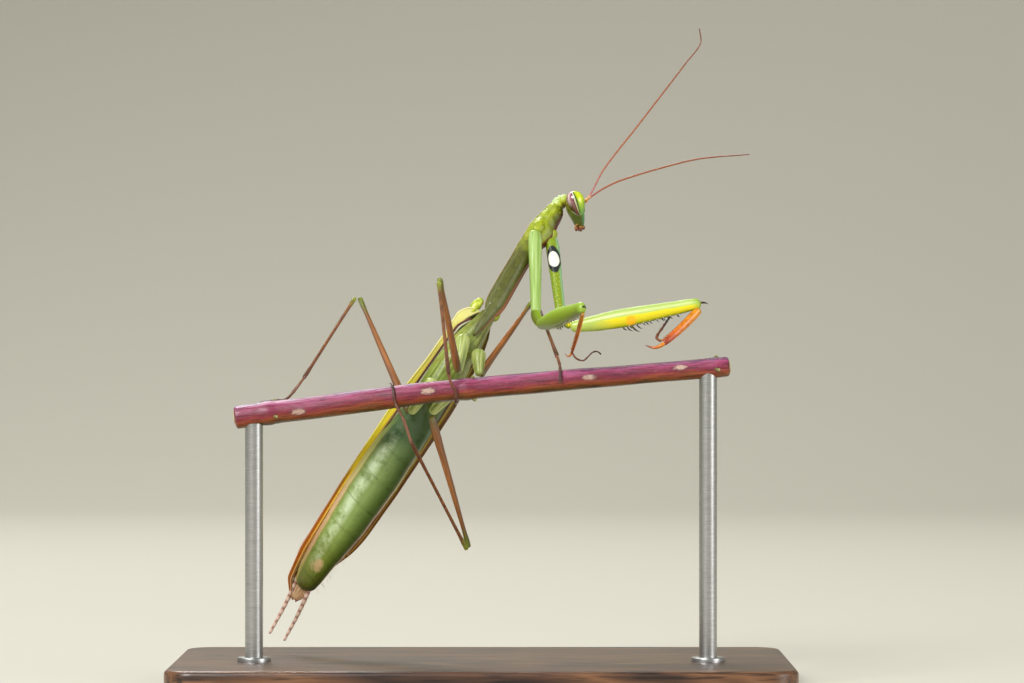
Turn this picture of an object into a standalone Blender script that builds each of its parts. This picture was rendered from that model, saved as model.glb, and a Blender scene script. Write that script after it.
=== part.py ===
"""Praying mantis (male European mantis), life size, gripping a cut stem on a plain display stand.

Blender 4.5 script. Sizes below are in millimetres and are turned to metres when a mesh is made.
X runs along the stem, Y from the belly to the back, Z up. The origin is the centre of the
base's underside. "Right" and "left" are the animal's own.
"""
import math

import bmesh
import bpy
from mathutils import Vector

for old in list(bpy.data.objects):
    bpy.data.objects.remove(old)

MM = 0.001
GAP = 0.06  # clear space where two pieces meet

# Driving dimensions
BASE_SIZE = (62.0, 32.0, 3.0)
BASE_CORNER = 3.0
ROD_RADIUS = 0.9
ROD_SOCKET = 1.6
STEM_Y = -3.5
STEM_RADII = (1.2, 1.0)  # at the left and right cut ends
STEM_HEIGHTS = ((-24.8, 27.4), (-13.7, 28.8), (-6.1, 29.8), (6.8, 31.0), (16.5, 31.8), (24.8, 32.5))
ROD_PLACES = {"left": -22.8, "right": 22.6}

HEAD = Vector((9.5, 8.5, 48.6))
HEAD_TURN = math.radians(4)  # crown leans back by this much
EYE_SIZE = (0.90, 0.85, 1.27)
EYE_TILT = math.radians(19)
EYE_SPREAD = 1.98

DORSAL = Vector((-0.144, 0.985, 0.097))  # the trunk is rolled ten degrees to show its right edge
UP = Vector((0.0, 0.0, 1.0))
TOWARDS = Vector((0.0, -1.0, 0.0))


def mm_points(*rows):
    return [Vector(row) for row in rows]


PROTHORAX_ROUTE = mm_points((0.7, 2.2, 37.7), (3.3, 5.1, 42.3), (6.3, 7.9, 47.2), (7.8, 8.7, 49.2))
BODY_ROUTE = mm_points(
    (0.9, 2.4, 38.1), (-2.5, 1.9, 33.9), (-5.8, 2.0, 28.8), (-10.5, 3.1, 21.2),
    (-12.5, 3.7, 18.7), (-17.5, 5.4, 11.0), (-18.4, 5.7, 9.6),
)
THORAX_END = 0.33  # share of the body route where the thorax ends
ABDOMEN_CUTS = (THORAX_END, 0.58, 0.80, 1.0)


# ---------------------------------------------------------------- shared shape tools

def blend(keys, share):
    """Smooth value at a share of (share, value) keys, by a cubic with the neighbours' slopes."""
    last = len(keys) - 1
    i = min(max(sum(share > key[0] for key in keys) - 1, 0), last - 1)
    (s0, v0), (s1, v1) = keys[i], keys[i + 1]
    before, after = keys[max(i - 1, 0)], keys[min(i + 2, last)]
    span = s1 - s0
    slope0 = (v1 - before[1]) * (span / (s1 - before[0]))
    slope1 = (after[1] - v0) * (span / (after[0] - s0))
    t = min(max((share - s0) / span, 0.0), 1.0)
    return (v0 * (2 * t**3 - 3 * t**2 + 1) + slope0 * (t**3 - 2 * t**2 + t)
            + v1 * (3 * t**2 - 2 * t**3) + slope1 * (t**3 - t**2))


class Route:
    """A smooth line through a few points, read by its share of the length."""

    def __init__(self, points):
        total, keys = 0.0, [(0.0, points[0])]
        for a, b in zip(points, points[1:]):
            total += (b - a).length
            keys.append((total, b))
        self.length = total
        self.keys = [(s / total, p) for s, p in keys]

    def at(self, share):
        return blend(self.keys, share)

    def along(self, share):
        step = 0.01
        return (self.at(min(share + step, 1)) - self.at(max(share - step, 0))).normalized()


def material(name, colour, roughness=0.5, metallic=0.0):
    look = bpy.data.materials.get(name)
    if not look:
        look = bpy.data.materials.new(name)
        look.use_nodes = True
        shader = look.node_tree.nodes["Principled BSDF"]
        shader.inputs["Base Color"].default_value = (*colour, 1)
        shader.inputs["Roughness"].default_value = roughness
        shader.inputs["Metallic"].default_value = metallic
        look.diffuse_color = (*colour, 1)
    return look


LOOKS = {
    "head": (0.32, 0.45, 0.05), "eye": (0.42, 0.55, 0.03), "mouth": (0.30, 0.14, 0.03),
    "antenna": (0.36, 0.09, 0.03), "neck": (0.45, 0.60, 0.20), "prothorax": (0.22, 0.27, 0.05),
    "pterothorax": (0.38, 0.50, 0.16), "abdomen": (0.22, 0.36, 0.12), "tegmen": (0.62, 0.55, 0.05),
    "wing": (0.60, 0.55, 0.40), "cercus": (0.55, 0.35, 0.30), "coxa": (0.35, 0.52, 0.14),
    "foreleg": (0.40, 0.55, 0.08), "foretibia": (0.70, 0.24, 0.02), "leg": (0.25, 0.11, 0.05),
    "tarsus": (0.18, 0.08, 0.04), "stem": (0.30, 0.05, 0.09), "wood": (0.16, 0.08, 0.04),
}


def finish(name, bm, look, roughness=0.45, metallic=0.0):
    """Closes the mesh's account: faces out, smooth shading, metres, its own material."""
    bmesh.ops.recalc_face_normals(bm, faces=bm.faces)
    mesh = bpy.data.meshes.new(name)
    bm.to_mesh(mesh)
    bm.free()
    for vertex in mesh.vertices:
        vertex.co *= MM
    mesh.shade_smooth()
    mesh.set_sharp_from_angle(angle=math.radians(50))
    obj = bpy.data.objects.new(name, mesh)
    bpy.context.scene.collection.objects.link(obj)
    mesh.materials.append(material(name, LOOKS.get(look, look), roughness, metallic))
    return obj


def skin(rings):
    """A closed mesh through rings of points; returns it with its faces as [ring][side]."""
    bm = bmesh.new()
    rows = [[bm.verts.new(point) for point in ring] for ring in rings]
    count = len(rows[0])
    faces = [
        [bm.faces.new((a[j], a[(j + 1) % count], b[(j + 1) % count], b[j])) for j in range(count)]
        for a, b in zip(rows, rows[1:])
    ]
    bm.faces.new(list(reversed(rows[0])))
    bm.faces.new(rows[-1])
    return bm, faces


def ring_shares(length, radius0, radius1, count, domes):
    """Where rings go, with their scale: evenly spaced, and closer where an end is domed."""
    rows = [(i / (count - 1), 1.0) for i in range(count)]
    if domes[0]:
        rows = [(0.0, 0.5), (0.35 * radius0 / length, 0.87)] + [
            row for row in rows if row[0] > 0.6 * radius0 / length]
    if domes[1]:
        rows = [row for row in rows if row[0] < 1 - 0.6 * radius1 / length] + [
            (1 - 0.35 * radius1 / length, 0.87), (1.0, 0.5)]
    return rows


def tube_rings(route, sizes, up, sides, count, span=(0.0, 1.0), domes=(True, True), shape=None):
    """Rings round a route. sizes holds (share, (half width, height above, height below))."""
    keys = [(share, Vector(size)) for share, size in sizes]
    reach = (span[1] - span[0]) * route.length
    first, last = blend(keys, span[0]), blend(keys, span[1])
    rings = []
    for share, scale in ring_shares(reach, first.x, last.x, count, domes):
        share = span[0] + share * (span[1] - span[0])
        width, above, below = blend(keys, share) * scale
        tangent = route.along(share)
        side = tangent.cross(up).normalized()
        top = side.cross(tangent)
        centre = route.at(share)
        ring = []
        for j in range(sides):
            angle = 2 * math.pi * (j + 0.5) / sides
            swell = shape(angle, share) if shape else 1.0
            height = above if math.sin(angle) > 0 else below
            ring.append(centre + swell * (side * width * math.cos(angle) + top * height * math.sin(angle)))
        rings.append(ring)
    return rings


def tube(name, points, radii, look, up=UP, sides=8, count=7, flat=1.0, domes=(True, True), thorns=()):
    """A tapering rod-like piece. radii holds (share, radius); flat is its width over its depth."""
    route = points if isinstance(points, Route) else Route(points)
    sizes = [(share, (radius * flat, radius, radius)) for share, radius in radii]
    bm, faces = skin(tube_rings(route, sizes, up, sides, count, domes=domes))
    for ring, side, reach, lean in thorns:
        grow(bm, faces[ring][side], reach, route.along(ring / count) * lean)
    return finish(name, bm, look)


def grow(bm, face, reach, lean):
    """Pulls one face out to a thorn."""
    face.normal_update()
    direction = face.normal.copy()
    out = bmesh.ops.extrude_discrete_faces(bm, faces=[face])["faces"][0]
    centre = out.calc_center_median()
    for vertex in out.verts:
        vertex.co = centre + (vertex.co - centre) * 0.22 + (direction + lean) * reach


def swollen(obj, clearance):
    """A hidden copy, larger by the clearance, that cuts a neighbour's socket."""
    mesh = obj.data.copy()
    for vertex, normal in zip(mesh.vertices, [v.normal.copy() for v in obj.data.vertices]):
        vertex.co += normal * clearance * MM
    cutter = bpy.data.objects.new(obj.name + "_cutter", mesh)
    bpy.context.scene.collection.objects.link(cutter)
    cutter.hide_render = True
    cutter.display_type = "WIRE"
    return cutter


def socket(obj, *neighbours, clearance=GAP):
    """Cuts room for each neighbour out of a piece, so that the two meet and don't overlap."""
    for neighbour in neighbours:
        cut = obj.modifiers.new("socket_" + neighbour.name, "BOOLEAN")
        cut.operation = "DIFFERENCE"
        cut.object = swollen(neighbour, clearance)


# ---------------------------------------------------------------- stand and perch

def base_plate():
    bm = bmesh.new()
    width, depth, thick = BASE_SIZE
    corners = []
    for cx, cy, start in ((1, 1, 0), (-1, 1, 90), (-1, -1, 180), (1, -1, 270)):
        for step in range(3):
            angle = math.radians(start + step * 45)
            corners.append(bm.verts.new((
                cx * (width / 2 - BASE_CORNER) + BASE_CORNER * math.cos(angle),
                cy * (depth / 2 - BASE_CORNER) + BASE_CORNER * math.sin(angle), 0)))
    bottom = bm.faces.new(corners)
    top = bmesh.ops.extrude_face_region(bm, geom=[bottom])["geom"]
    for vertex in (item for item in top if isinstance(item, bmesh.types.BMVert)):
        vertex.co.z = thick
    rim = [edge for edge in bm.edges if all(v.co.z > thick - 0.01 for v in edge.verts)]
    bmesh.ops.bevel(bm, geom=rim, offset=0.4, segments=1, affect="EDGES")
    return finish("stand_base", bm, "wood", 0.4)


def stem_centre(x):
    return Vector((x, STEM_Y, blend(STEM_HEIGHTS, x)))


def stem():
    ends = [STEM_HEIGHTS[0][0], STEM_HEIGHTS[-1][0]]
    count = 11
    places = [ends[0] + (ends[1] - ends[0]) * i / (count - 1) for i in range(count)]
    route = Route([stem_centre(x) for x in places])
    sizes = [(0.0, (STEM_RADII[0],) * 3), (0.5, (1.1,) * 3), (1.0, (STEM_RADII[1],) * 3)]
    bm, _ = skin(tube_rings(route, sizes, UP, 12, count, domes=(False, False)))
    return finish("perch_stem", bm, "stem")


def rod(side, perch):
    x = ROD_PLACES[side]
    foot, head = BASE_SIZE[2] - ROD_SOCKET, stem_centre(x).z
    bm = bmesh.new()
    bmesh.ops.create_cone(bm, cap_ends=True, segments=16, radius1=ROD_RADIUS, radius2=ROD_RADIUS,
                          depth=head - foot)
    bmesh.ops.translate(bm, verts=bm.verts, vec=(x, STEM_Y, (head + foot) / 2))
    piece = finish("stand_rod_" + side, bm, (0.55, 0.55, 0.56), 0.3, 1.0)
    socket(piece, perch)
    return piece


perch = stem()
base = base_plate()
for rod_side in ROD_PLACES:
    socket(base, rod(rod_side, perch))


# ---------------------------------------------------------------- head

def head_place(x, y, z):
    """From the head's own axes (front, left, up) to the model's."""
    c, s = math.cos(HEAD_TURN), math.sin(HEAD_TURN)
    return HEAD + Vector((x * c - z * s, y, x * s + z * c))


def head_capsule():
    """Level rings from the mouth up to the crown: a narrow wedge in profile, a triangle in front."""
    # height, back, front, half width
    rows = ((-1.75, -0.15, 0.75, 0.42), (-1.35, -0.25, 0.86, 0.62), (-0.8, -0.42, 0.92, 0.92),
            (-0.2, -0.62, 0.96, 1.30), (0.4, -0.80, 0.98, 1.72), (1.0, -0.88, 0.93, 2.0),
            (1.45, -0.80, 0.74, 1.95), (1.75, -0.55, 0.42, 1.6))
    rings = []
    for height, back, front, half in rows:
        middle, depth = (front + back) / 2, (front - back) / 2
        rings.append([
            head_place(middle + depth * math.cos(a), half * math.sin(a), height)
            for a in (2 * math.pi * (j + 0.5) / 14 for j in range(14))])
    bm, _ = skin(rings)
    return finish("head", bm, "head", 0.35)


def eye(side, sign):
    """An egg, broad above and pointed below, tilted back at the top."""
    bm = bmesh.new()
    bmesh.ops.create_uvsphere(bm, u_segments=12, v_segments=8, radius=1.0)
    c, s = math.cos(EYE_TILT), math.sin(EYE_TILT)
    for vertex in bm.verts:
        x, y, z = vertex.co
        taper = 1.0 + 0.22 * z
        x, y, z = x * EYE_SIZE[0] * taper, y * EYE_SIZE[1] * taper, z * EYE_SIZE[2]
        vertex.co = head_place(0.08 + x * c - z * s, sign * EYE_SPREAD + y, 0.55 + x * s + z * c)
    return finish("eye_" + side, bm, "eye", 0.12)


def antenna(side, points):
    radii = [(0, 0.34), (0.04, 0.27), (1, 0.25)]
    return tube("antenna_" + side, points, radii, "antenna", sides=6, count=15)


def mouthparts():
    """Jaws and lower lip as one wedge, with the two feelers of the jaw pulled out of its sides."""
    rows = ((-1.84, 0.0, 0.70, 0.38), (-2.05, 0.05, 0.68, 0.40), (-2.3, 0.16, 0.62, 0.30))
    rings = []
    for height, back, front, half in rows:
        middle, depth = (front + back) / 2, (front - back) / 2
        rings.append([
            head_place(middle + depth * math.cos(a), half * math.sin(a), height)
            for a in (2 * math.pi * (j + 0.5) / 10 for j in range(10))])
    bm, faces = skin(rings)
    for place in (3, 6):
        grow(bm, faces[1][place], 0.35, Vector((-0.2, 0, -1.2)))
    return finish("mouthparts", bm, "mouth", 0.4)


head = head_capsule()
eyes = [eye("right", -1), eye("left", 1)]
antennae = [
    antenna("right", mm_points((10.5, 8.05, 49.4), (11.0, 7.8, 49.8), (12.4, 6.9, 50.7), (14.2, 5.5, 51.5),
                               (18.5, 2.0, 52.7), (22.0, -1.3, 53.4), (26.6, -6.0, 53.6))),
    antenna("left", mm_points((10.5, 8.95, 49.4), (11.0, 9.1, 50.0), (12.5, 9.5, 52.8), (16.3, 10.5, 57.7),
                              (21.2, 12.1, 64.1), (22.6, 12.5, 66.0), (22.5, 12.7, 67.6))),
]
mouthparts()
socket(head, *eyes, *antennae)
neck = tube("neck", mm_points((7.5, 8.6, 48.95), (8.1, 8.75, 49.45), (8.75, 8.6, 49.5)),
            [(0, 0.72), (1, 0.62)], "neck", sides=12, count=4, domes=(False, True))
socket(head, neck)


# ---------------------------------------------------------------- trunk

def pronotum_rim(angle, share):
    """The shield's edge stands out a little at each side, and a low keel runs down its middle."""
    rim = 0.10 * math.exp(-((math.sin(angle) - 0.15) / 0.22) ** 2)
    keel = 0.05 * math.exp(-((abs(math.degrees(angle) - 90)) / 14) ** 2)
    return 1.0 + rim + keel


PROTHORAX_SIZES = [
    (0.0, (0.95, 0.70, 0.80)), (0.12, (1.0, 0.70, 0.80)), (0.5, (0.98, 0.72, 0.85)),
    (0.66, (1.12, 0.80, 0.95)), (0.77, (1.32, 0.85, 1.0)), (0.88, (1.05, 0.80, 0.90)),
    (1.0, (0.72, 0.65, 0.70)),
]
shield_rings = tube_rings(Route(PROTHORAX_ROUTE), PROTHORAX_SIZES, DORSAL, 14, 11, shape=pronotum_rim)
shield, _ = skin(shield_rings)
prothorax = finish("prothorax", shield, "prothorax")
socket(prothorax, neck)

BODY = Route(BODY_ROUTE)
BODY_SIZES = [
    (0.0, (1.30, 0.95, 1.0)), (0.05, (1.65, 1.20, 1.30)), (0.13, (2.0, 1.45, 1.60)),
    (0.25, (2.15, 1.55, 1.75)), (0.33, (2.05, 1.55, 1.65)), (0.42, (2.18, 1.6, 1.75)),
    (0.60, (2.22, 1.6, 1.75)), (0.75, (2.08, 1.5, 1.65)), (0.87, (1.88, 1.25, 1.38)),
    (0.95, (1.62, 1.0, 1.1)), (1.0, (1.25, 0.72, 0.78)),
]


def body_piece(name, span, count, look, domes=(False, False), shape=None):
    trim = GAP / 2 / BODY.length
    span = (span[0] + trim, span[1] - trim)
    bm, _ = skin(tube_rings(BODY, BODY_SIZES, DORSAL, 16, count, span, domes, shape))
    return finish(name, bm, look)


def rings_of_plates(angle, share):
    """Each belly plate's rear edge stands a little over the next plate."""
    plates = 11
    return 1.0 + 0.035 * ((share * plates) % 1.0 - 0.5)


pterothorax = body_piece("pterothorax", (0.0, THORAX_END), 7, "pterothorax", domes=(True, False))
socket(pterothorax, prothorax)
abdomen_front = body_piece("abdomen_front", ABDOMEN_CUTS[:2], 7, "abdomen", shape=rings_of_plates)
abdomen_middle = body_piece("abdomen_middle", ABDOMEN_CUTS[1:3], 6, "abdomen", shape=rings_of_plates)
abdomen_rear = body_piece("abdomen_rear", ABDOMEN_CUTS[2:], 5, "abdomen", domes=(False, True))


# ---------------------------------------------------------------- wings

WING_THICK = 0.5
WING_ROUTE = Route(BODY_ROUTE + [Vector((-19.6, 6.1, 7.9))])


def wing(name, sign, lift, span, halves, look):
    """One folded wing: a shallow half-arch over the back, from the midline out to its front edge."""
    across = 4
    rings = []
    for i in range(9):
        share = span[0] + (span[1] - span[0]) * i / 8
        half = blend(halves, i / 8)
        tangent = WING_ROUTE.along(share)
        side = tangent.cross(DORSAL).normalized() * sign
        top = side.cross(tangent) * sign
        crown = blend([(0.0, 1.25), (0.12, 1.75), (0.55, 1.75), (0.8, 1.5), (1.0, 0.95)], share) + lift
        centre = WING_ROUTE.at(share)

        def point(step, rise):
            reach = GAP / 2 + half * step / across
            drop = 1.15 * (reach / 2.6) ** 2
            return centre + side * reach + top * (crown - drop + rise)

        outer = [point(step, WING_THICK) for step in range(across + 1)]
        inner = [point(step, 0.0) for step in reversed(range(across + 1))]
        rings.append(outer + inner)
    bm, _ = skin(rings)
    return finish(name, bm, look, 0.35)


HINDWING_HALVES = [(0, 1.0), (0.15, 1.9), (0.5, 2.2), (0.8, 1.8), (1.0, 0.5)]
TEGMEN_HALVES = [(0, 1.2), (0.12, 2.15), (0.3, 2.5), (0.55, 2.7), (0.8, 2.62), (0.93, 2.05), (1.0, 0.95)]
for wing_side, wing_sign in (("right", -1), ("left", 1)):
    wing("hindwing_" + wing_side, wing_sign, 0.05, (0.06, 1.0), HINDWING_HALVES, "wing")
    wing("tegmen_" + wing_side, wing_sign, 0.05 + WING_THICK + GAP, (0.03, 0.97), TEGMEN_HALVES, "tegmen")


# ---------------------------------------------------------------- cerci

def cercus(side, start, end):
    """A tapering tail feeler of nine beads."""
    beads = 9
    radii = []
    for i in range(beads):
        girth = 0.32 - 0.06 * i / beads
        radii += [(i / beads, girth * 0.8), ((i + 0.5) / beads, girth)]
    radii.append((1.0, 0.22))
    bend = (start + end) / 2 + Vector((0.12, 0.1, 0.0))
    return tube("cercus_" + side, [start, bend, end], radii, "cercus", sides=5, count=2 * beads + 1,
                domes=(False, False))


cerci = [cercus("right", Vector((-18.9, 5.7, 10.9)), Vector((-21.9, 7.1, 5.0))),
         cercus("left", Vector((-17.7, 5.5, 9.7)), Vector((-20.4, 6.7, 4.3)))]
socket(abdomen_rear, *cerci)


# ---------------------------------------------------------------- walking legs

def tarsus(name, points, radius=0.26):
    """Five short joints that thicken towards their far ends, with two claws at the tip."""
    joints = ((0.0, 0.36), (0.36, 0.58), (0.58, 0.74), (0.74, 0.85), (0.85, 1.0))
    radii = []
    for start, end in joints:
        radii += [(start, radius * 0.95), (end - 0.03, radius * 1.15)]
    radii.append((1.0, radius))
    claws = ((11, 1, 0.22, 0.8), (11, 4, 0.22, 0.8))
    return tube(name, points, radii, "tarsus", sides=6, count=13, thorns=claws)


def fold(before, joint, after, first, second):
    """Ends of two limbs folded at a joint, set side by side so that they don't run into each other."""
    back, ahead = (before - joint).normalized(), (after - joint).normalized()
    aside = (ahead - back * ahead.dot(back)).normalized()
    room = first + second + GAP
    return joint - aside * room * 0.45, joint + aside * room * 0.55


def walking_leg(side, root, hip, knee, ankle, toes, hind):
    pair = "hind" if hind else "mid"
    name = f"{pair}{{}}_{side}"
    thigh, shin = (0.47, 0.27) if hind else (0.43, 0.26)
    knee_end, shin_top = fold(hip, knee, ankle, 0.33, 0.28)
    coxa = tube(name.format("coxa"), [root, root.lerp(hip, 0.55) + TOWARDS * 0.1, hip],
                [(0, 0.85), (0.4, 0.78), (0.85, 0.5), (1, 0.5)], "coxa", sides=8, count=6)
    hip_end, thigh_top = fold(root, hip, knee, 0.4, thigh)
    lift = (knee_end - hip).normalized()
    femur = tube(name.format("femur"),
                 [hip_end.lerp(thigh_top, 0.75), hip + lift * 1.2, hip.lerp(knee_end, 0.5), knee_end],
                 [(0, 0.34), (0.1, thigh), (0.35, thigh * 0.92), (0.85, 0.29), (0.96, 0.33), (1, 0.32)],
                 "leg", sides=8, count=9)
    tibia = tube(name.format("tibia"), [shin_top, shin_top.lerp(ankle, 0.5), ankle],
                 [(0, 0.28), (0.08, 0.27), (0.9, shin), (1, 0.30)], "leg", sides=8, count=8)
    foot = tarsus(name.format("tarsus"), [ankle + (toes[0] - ankle).normalized() * 0.1] + toes)
    socket(coxa, femur)
    socket(femur, tibia)
    socket(tibia, foot)
    socket(foot, perch)
    socket(pterothorax, coxa)
    return coxa, femur, tibia, foot


def round_stem(x, angle, drift=0.0, reach=0.33):
    """A point beside the stem's surface, at an angle from its front, upwards positive."""
    radius = 1.12 + reach
    turn = math.radians(angle)
    return stem_centre(x + drift) + Vector((0, -radius * math.cos(turn), radius * math.sin(turn)))


walking_leg("right", Vector((-1.9, 0.1, 35.7)), Vector((-2.4, -1.7, 31.8)), Vector((-4.2, -8.7, 41.1)),
            Vector((-3.3, -5.7, 31.7)),
            [Vector((-2.95, -5.35, 30.8))] + [round_stem(-2.6, a) for a in (-8, -45, -85, -125)], False)
walking_leg("left", Vector((-0.4, 0.1, 34.2)), Vector((-0.3, -1.4, 31.5)), Vector((5.3, 5.6, 39.1)),
            Vector((7.5, -2.7, 33.6)),
            [Vector((7.75, -3.4, 32.75))] + [round_stem(7.8, a) for a in (65, 30, -5)], False)
walking_leg("right", Vector((-4.7, 0.0, 31.2)), Vector((-7.3, -0.9, 27.7)), Vector((-12.9, 6.9, 39.5)),
            Vector((-17.9, -2.5, 31.3)),
            [Vector((-18.5, -2.4, 30.5))] + [round_stem(x, 118) for x in (-19.6, -20.6, -22.0)], True)
walking_leg("left", Vector((-3.1, 0.0, 30.1)), Vector((-5.2, -0.9, 27.7)), Vector((-1.5, 3.7, 13.9)),
            Vector((-7.1, -5.1, 25.1)),
            [Vector((-7.8, -5.2, 27.2))]
            + [round_stem(-8.7 - 0.1 * i, a) for i, a in enumerate((-20, 15, 50, 85))], True)


# ---------------------------------------------------------------- forelegs

def foreleg(side, root, elbow, heel, apex, claw, toes, above):
    """Coxa, trochanter, spined femur, spined tibia with its claw, and tarsus."""
    coxa = tube("forecoxa_" + side, [root, root.lerp(elbow, 0.5) + Vector((0, 0.15, 0)), elbow],
                [(0, 0.72), (0.12, 0.72), (0.5, 0.62), (0.9, 0.52), (1, 0.55)], "coxa", sides=10, count=8)
    trochanter = tube("foretrochanter_" + side, [elbow.lerp(heel, -0.1), heel],
                      [(0, 0.5), (0.5, 0.58), (1, 0.52)], "foreleg", sides=10, count=4)
    along = (apex - heel).normalized()
    start = heel + along * 0.35
    femur_rings = 15
    thorns = [(ring, 8, 0.42, -0.15) for ring in range(5, 14)]
    thorns += [(ring, 10, 0.45, -0.1) for ring in (5, 6, 8, 10, 12)]
    route = Route([start, start.lerp(apex, 0.5), apex])
    sizes = [(0, (0.42, 0.52, 0.52)), (0.12, (0.52, 0.68, 0.76)), (0.35, (0.66, 0.92, 1.12)),
             (0.55, (0.64, 0.88, 1.05)), (0.8, (0.52, 0.72, 0.80)), (0.95, (0.48, 0.66, 0.62)),
             (1, (0.42, 0.55, 0.55))]
    bm, faces = skin(tube_rings(route, sizes, above, 12, femur_rings))
    for ring, place, reach, lean in thorns:
        grow(bm, faces[ring][place], reach, route.along(ring / femur_rings) * lean)
    femur = finish("forefemur_" + side, bm, "foreleg")
    inwards = (start - apex).normalized()
    bend = apex + inwards * 0.1 - above * 0.75
    tip = claw - (claw - apex).normalized() * 0.8
    tibia = tube("foretibia_" + side,
                 [bend, bend.lerp(tip, 0.5) - inwards * 0.15, tip, claw + inwards * 0.55,
                  claw + inwards * 1.3 + above * 0.25],
                 [(0, 0.36), (0.2, 0.42), (0.6, 0.40), (0.72, 0.30), (0.85, 0.25), (1, 0.25)], "foretibia",
                 up=above, sides=8, count=10, flat=0.72, thorns=[(ring, 1, 0.2, 0.6) for ring in range(2, 6)])
    hand = tube("foretarsus_" + side, toes, [(0, 0.26), (0.45, 0.25), (1, 0.25)], "tarsus", sides=6, count=11,
                thorns=((10, 1, 0.2, 0.8), (10, 4, 0.2, 0.8)))
    socket(prothorax, coxa)
    socket(coxa, trochanter)
    socket(trochanter, femur)
    socket(femur, tibia)
    socket(tibia, hand)
    return coxa, trochanter, femur, tibia, hand


foreleg("right", Vector((5.3, 6.4, 46.4)), Vector((5.4, 1.9, 37.8)), Vector((5.7, 0.7, 36.7)),
        Vector((10.0, -11.1, 38.3)), Vector((8.9, -6.5, 33.8)),
        mm_points((8.9, -6.0, 34.1), (9.3, -5.6, 33.4), (10.1, -4.9, 33.1), (10.6, -4.7, 33.5),
                  (11.0, -4.6, 33.9), (11.5, -4.5, 34.0), (11.9, -4.5, 33.7)), UP)
foreleg("left", Vector((7.0, 7.6, 45.7)), Vector((7.9, 3.2, 38.0)), Vector((8.7, 2.7, 36.4)),
        Vector((22.1, 0.8, 38.8)), Vector((18.2, -1.3, 34.7)),
        mm_points((18.0, -0.6, 35.0), (17.6, 0.1, 35.4), (18.3, 1.1, 36.5), (19.0, 1.9, 37.5)), UP)
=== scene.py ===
"""Looks of a life-size praying mantis: a male European mantis that grips a cut stem on a stand.

Runs in Blender 4.5 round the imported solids. Shapes are worked out in millimetres and turned to
metres as each mesh is made. X runs along the stem, Y from the belly to the back, Z up, and
"right" and "left" are the animal's own.
"""
import math
import random

import bmesh
import bpy
from mathutils import Matrix, Vector


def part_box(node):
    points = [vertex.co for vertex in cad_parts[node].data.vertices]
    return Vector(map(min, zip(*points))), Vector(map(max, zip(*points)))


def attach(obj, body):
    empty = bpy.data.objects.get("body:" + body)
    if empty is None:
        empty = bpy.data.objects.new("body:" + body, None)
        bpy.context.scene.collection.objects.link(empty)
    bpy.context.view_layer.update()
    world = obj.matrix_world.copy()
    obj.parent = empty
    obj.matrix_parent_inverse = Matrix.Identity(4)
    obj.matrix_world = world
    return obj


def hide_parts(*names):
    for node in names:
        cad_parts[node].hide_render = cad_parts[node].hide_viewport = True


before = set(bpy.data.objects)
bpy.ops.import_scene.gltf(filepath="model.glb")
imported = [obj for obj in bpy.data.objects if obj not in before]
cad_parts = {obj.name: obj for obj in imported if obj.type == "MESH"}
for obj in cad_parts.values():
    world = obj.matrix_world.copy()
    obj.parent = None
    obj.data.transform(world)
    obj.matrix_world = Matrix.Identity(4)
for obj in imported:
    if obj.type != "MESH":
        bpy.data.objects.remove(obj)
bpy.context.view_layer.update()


# ---------------- display base
# A block of walnut, planed flat, rounded at its corners, eased along its edges and oiled. Its
# weight keeps the light model upright, and both rods are pressed into holes in its top.

MM = 0.001
BASE_CORNER = 3.0
BASE_EASE = 0.5
WALNUT_RING = 1.6  # one growth ring, seen on the flat face
WALNUT_PORE = 0.16


def linear(code):
    """A #rrggbb colour as the linear values that a shader takes."""
    parts = [int(code[i:i + 2], 16) / 255 for i in (1, 3, 5)]
    return [c / 12.92 if c <= 0.04045 else ((c + 0.055) / 1.055) ** 2.4 for c in parts] + [1.0]


def per(size):
    """The scale that makes one feature of a pattern this many millimetres wide."""
    return 1 / (size * MM)


def plug(socket, value):
    """Sets an input, or links it to a socket or to a node's first output."""
    if isinstance(value, bpy.types.Node):
        value = value.outputs[0]
    if isinstance(value, bpy.types.NodeSocket):
        socket.id_data.links.new(value, socket)
    else:
        socket.default_value = linear(value) if isinstance(value, str) else value


def adder(tree):
    """The function that adds a node to a tree, with its settings and links."""

    def add(kind, *values, **named):
        """A kind may name a mode. Values fill inputs in order, and a dict is a ramp's stops."""
        kind, _, mode = kind.partition(" ")
        node = tree.nodes.new("ShaderNode" + kind)
        for key in ("operation", "blend_type", "feature"):
            if mode and hasattr(node, key):
                setattr(node, key, mode)
        inputs = [socket for socket in node.inputs if socket.enabled]
        for i, value in enumerate(values):
            if isinstance(value, dict):
                elements = node.color_ramp.elements
                while len(elements) < len(value):
                    elements.new(1.0)
                for element, (place, code) in zip(elements, value.items()):
                    element.position = place
                    element.color = linear(code)
            else:
                plug(inputs[i], value)
        for key, value in named.items():
            if key[0].isupper():
                plug(node.inputs[key.replace("_", " ")], value)
            else:
                setattr(node, key, value)
        return node

    return add


def new_material(name):
    """A material, and the function that adds a node to it."""
    made = bpy.data.materials.new(name)
    made.use_nodes = True
    return made, adder(made.node_tree)


def surface(made, colour, height=None, depth=0.0, roughness=0.5, **inputs):
    """Fills in the shader's inputs, with bump of a depth in millimetres."""
    if height:
        inputs["Normal"] = adder(made.node_tree)("Bump", Height=height, Distance=depth * MM, Strength=1.0)
    shader = made.node_tree.nodes["Principled BSDF"]
    for key, value in {"Base Color": colour, "Roughness": roughness, **inputs}.items():
        plug(shader.inputs[key.replace("_", " ")], value)


def start(primitive, **settings):
    """Adds a basic shape with nothing else selected."""
    bpy.ops.object.select_all(action="DESELECT")
    primitive(**settings)
    return bpy.context.object


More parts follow.
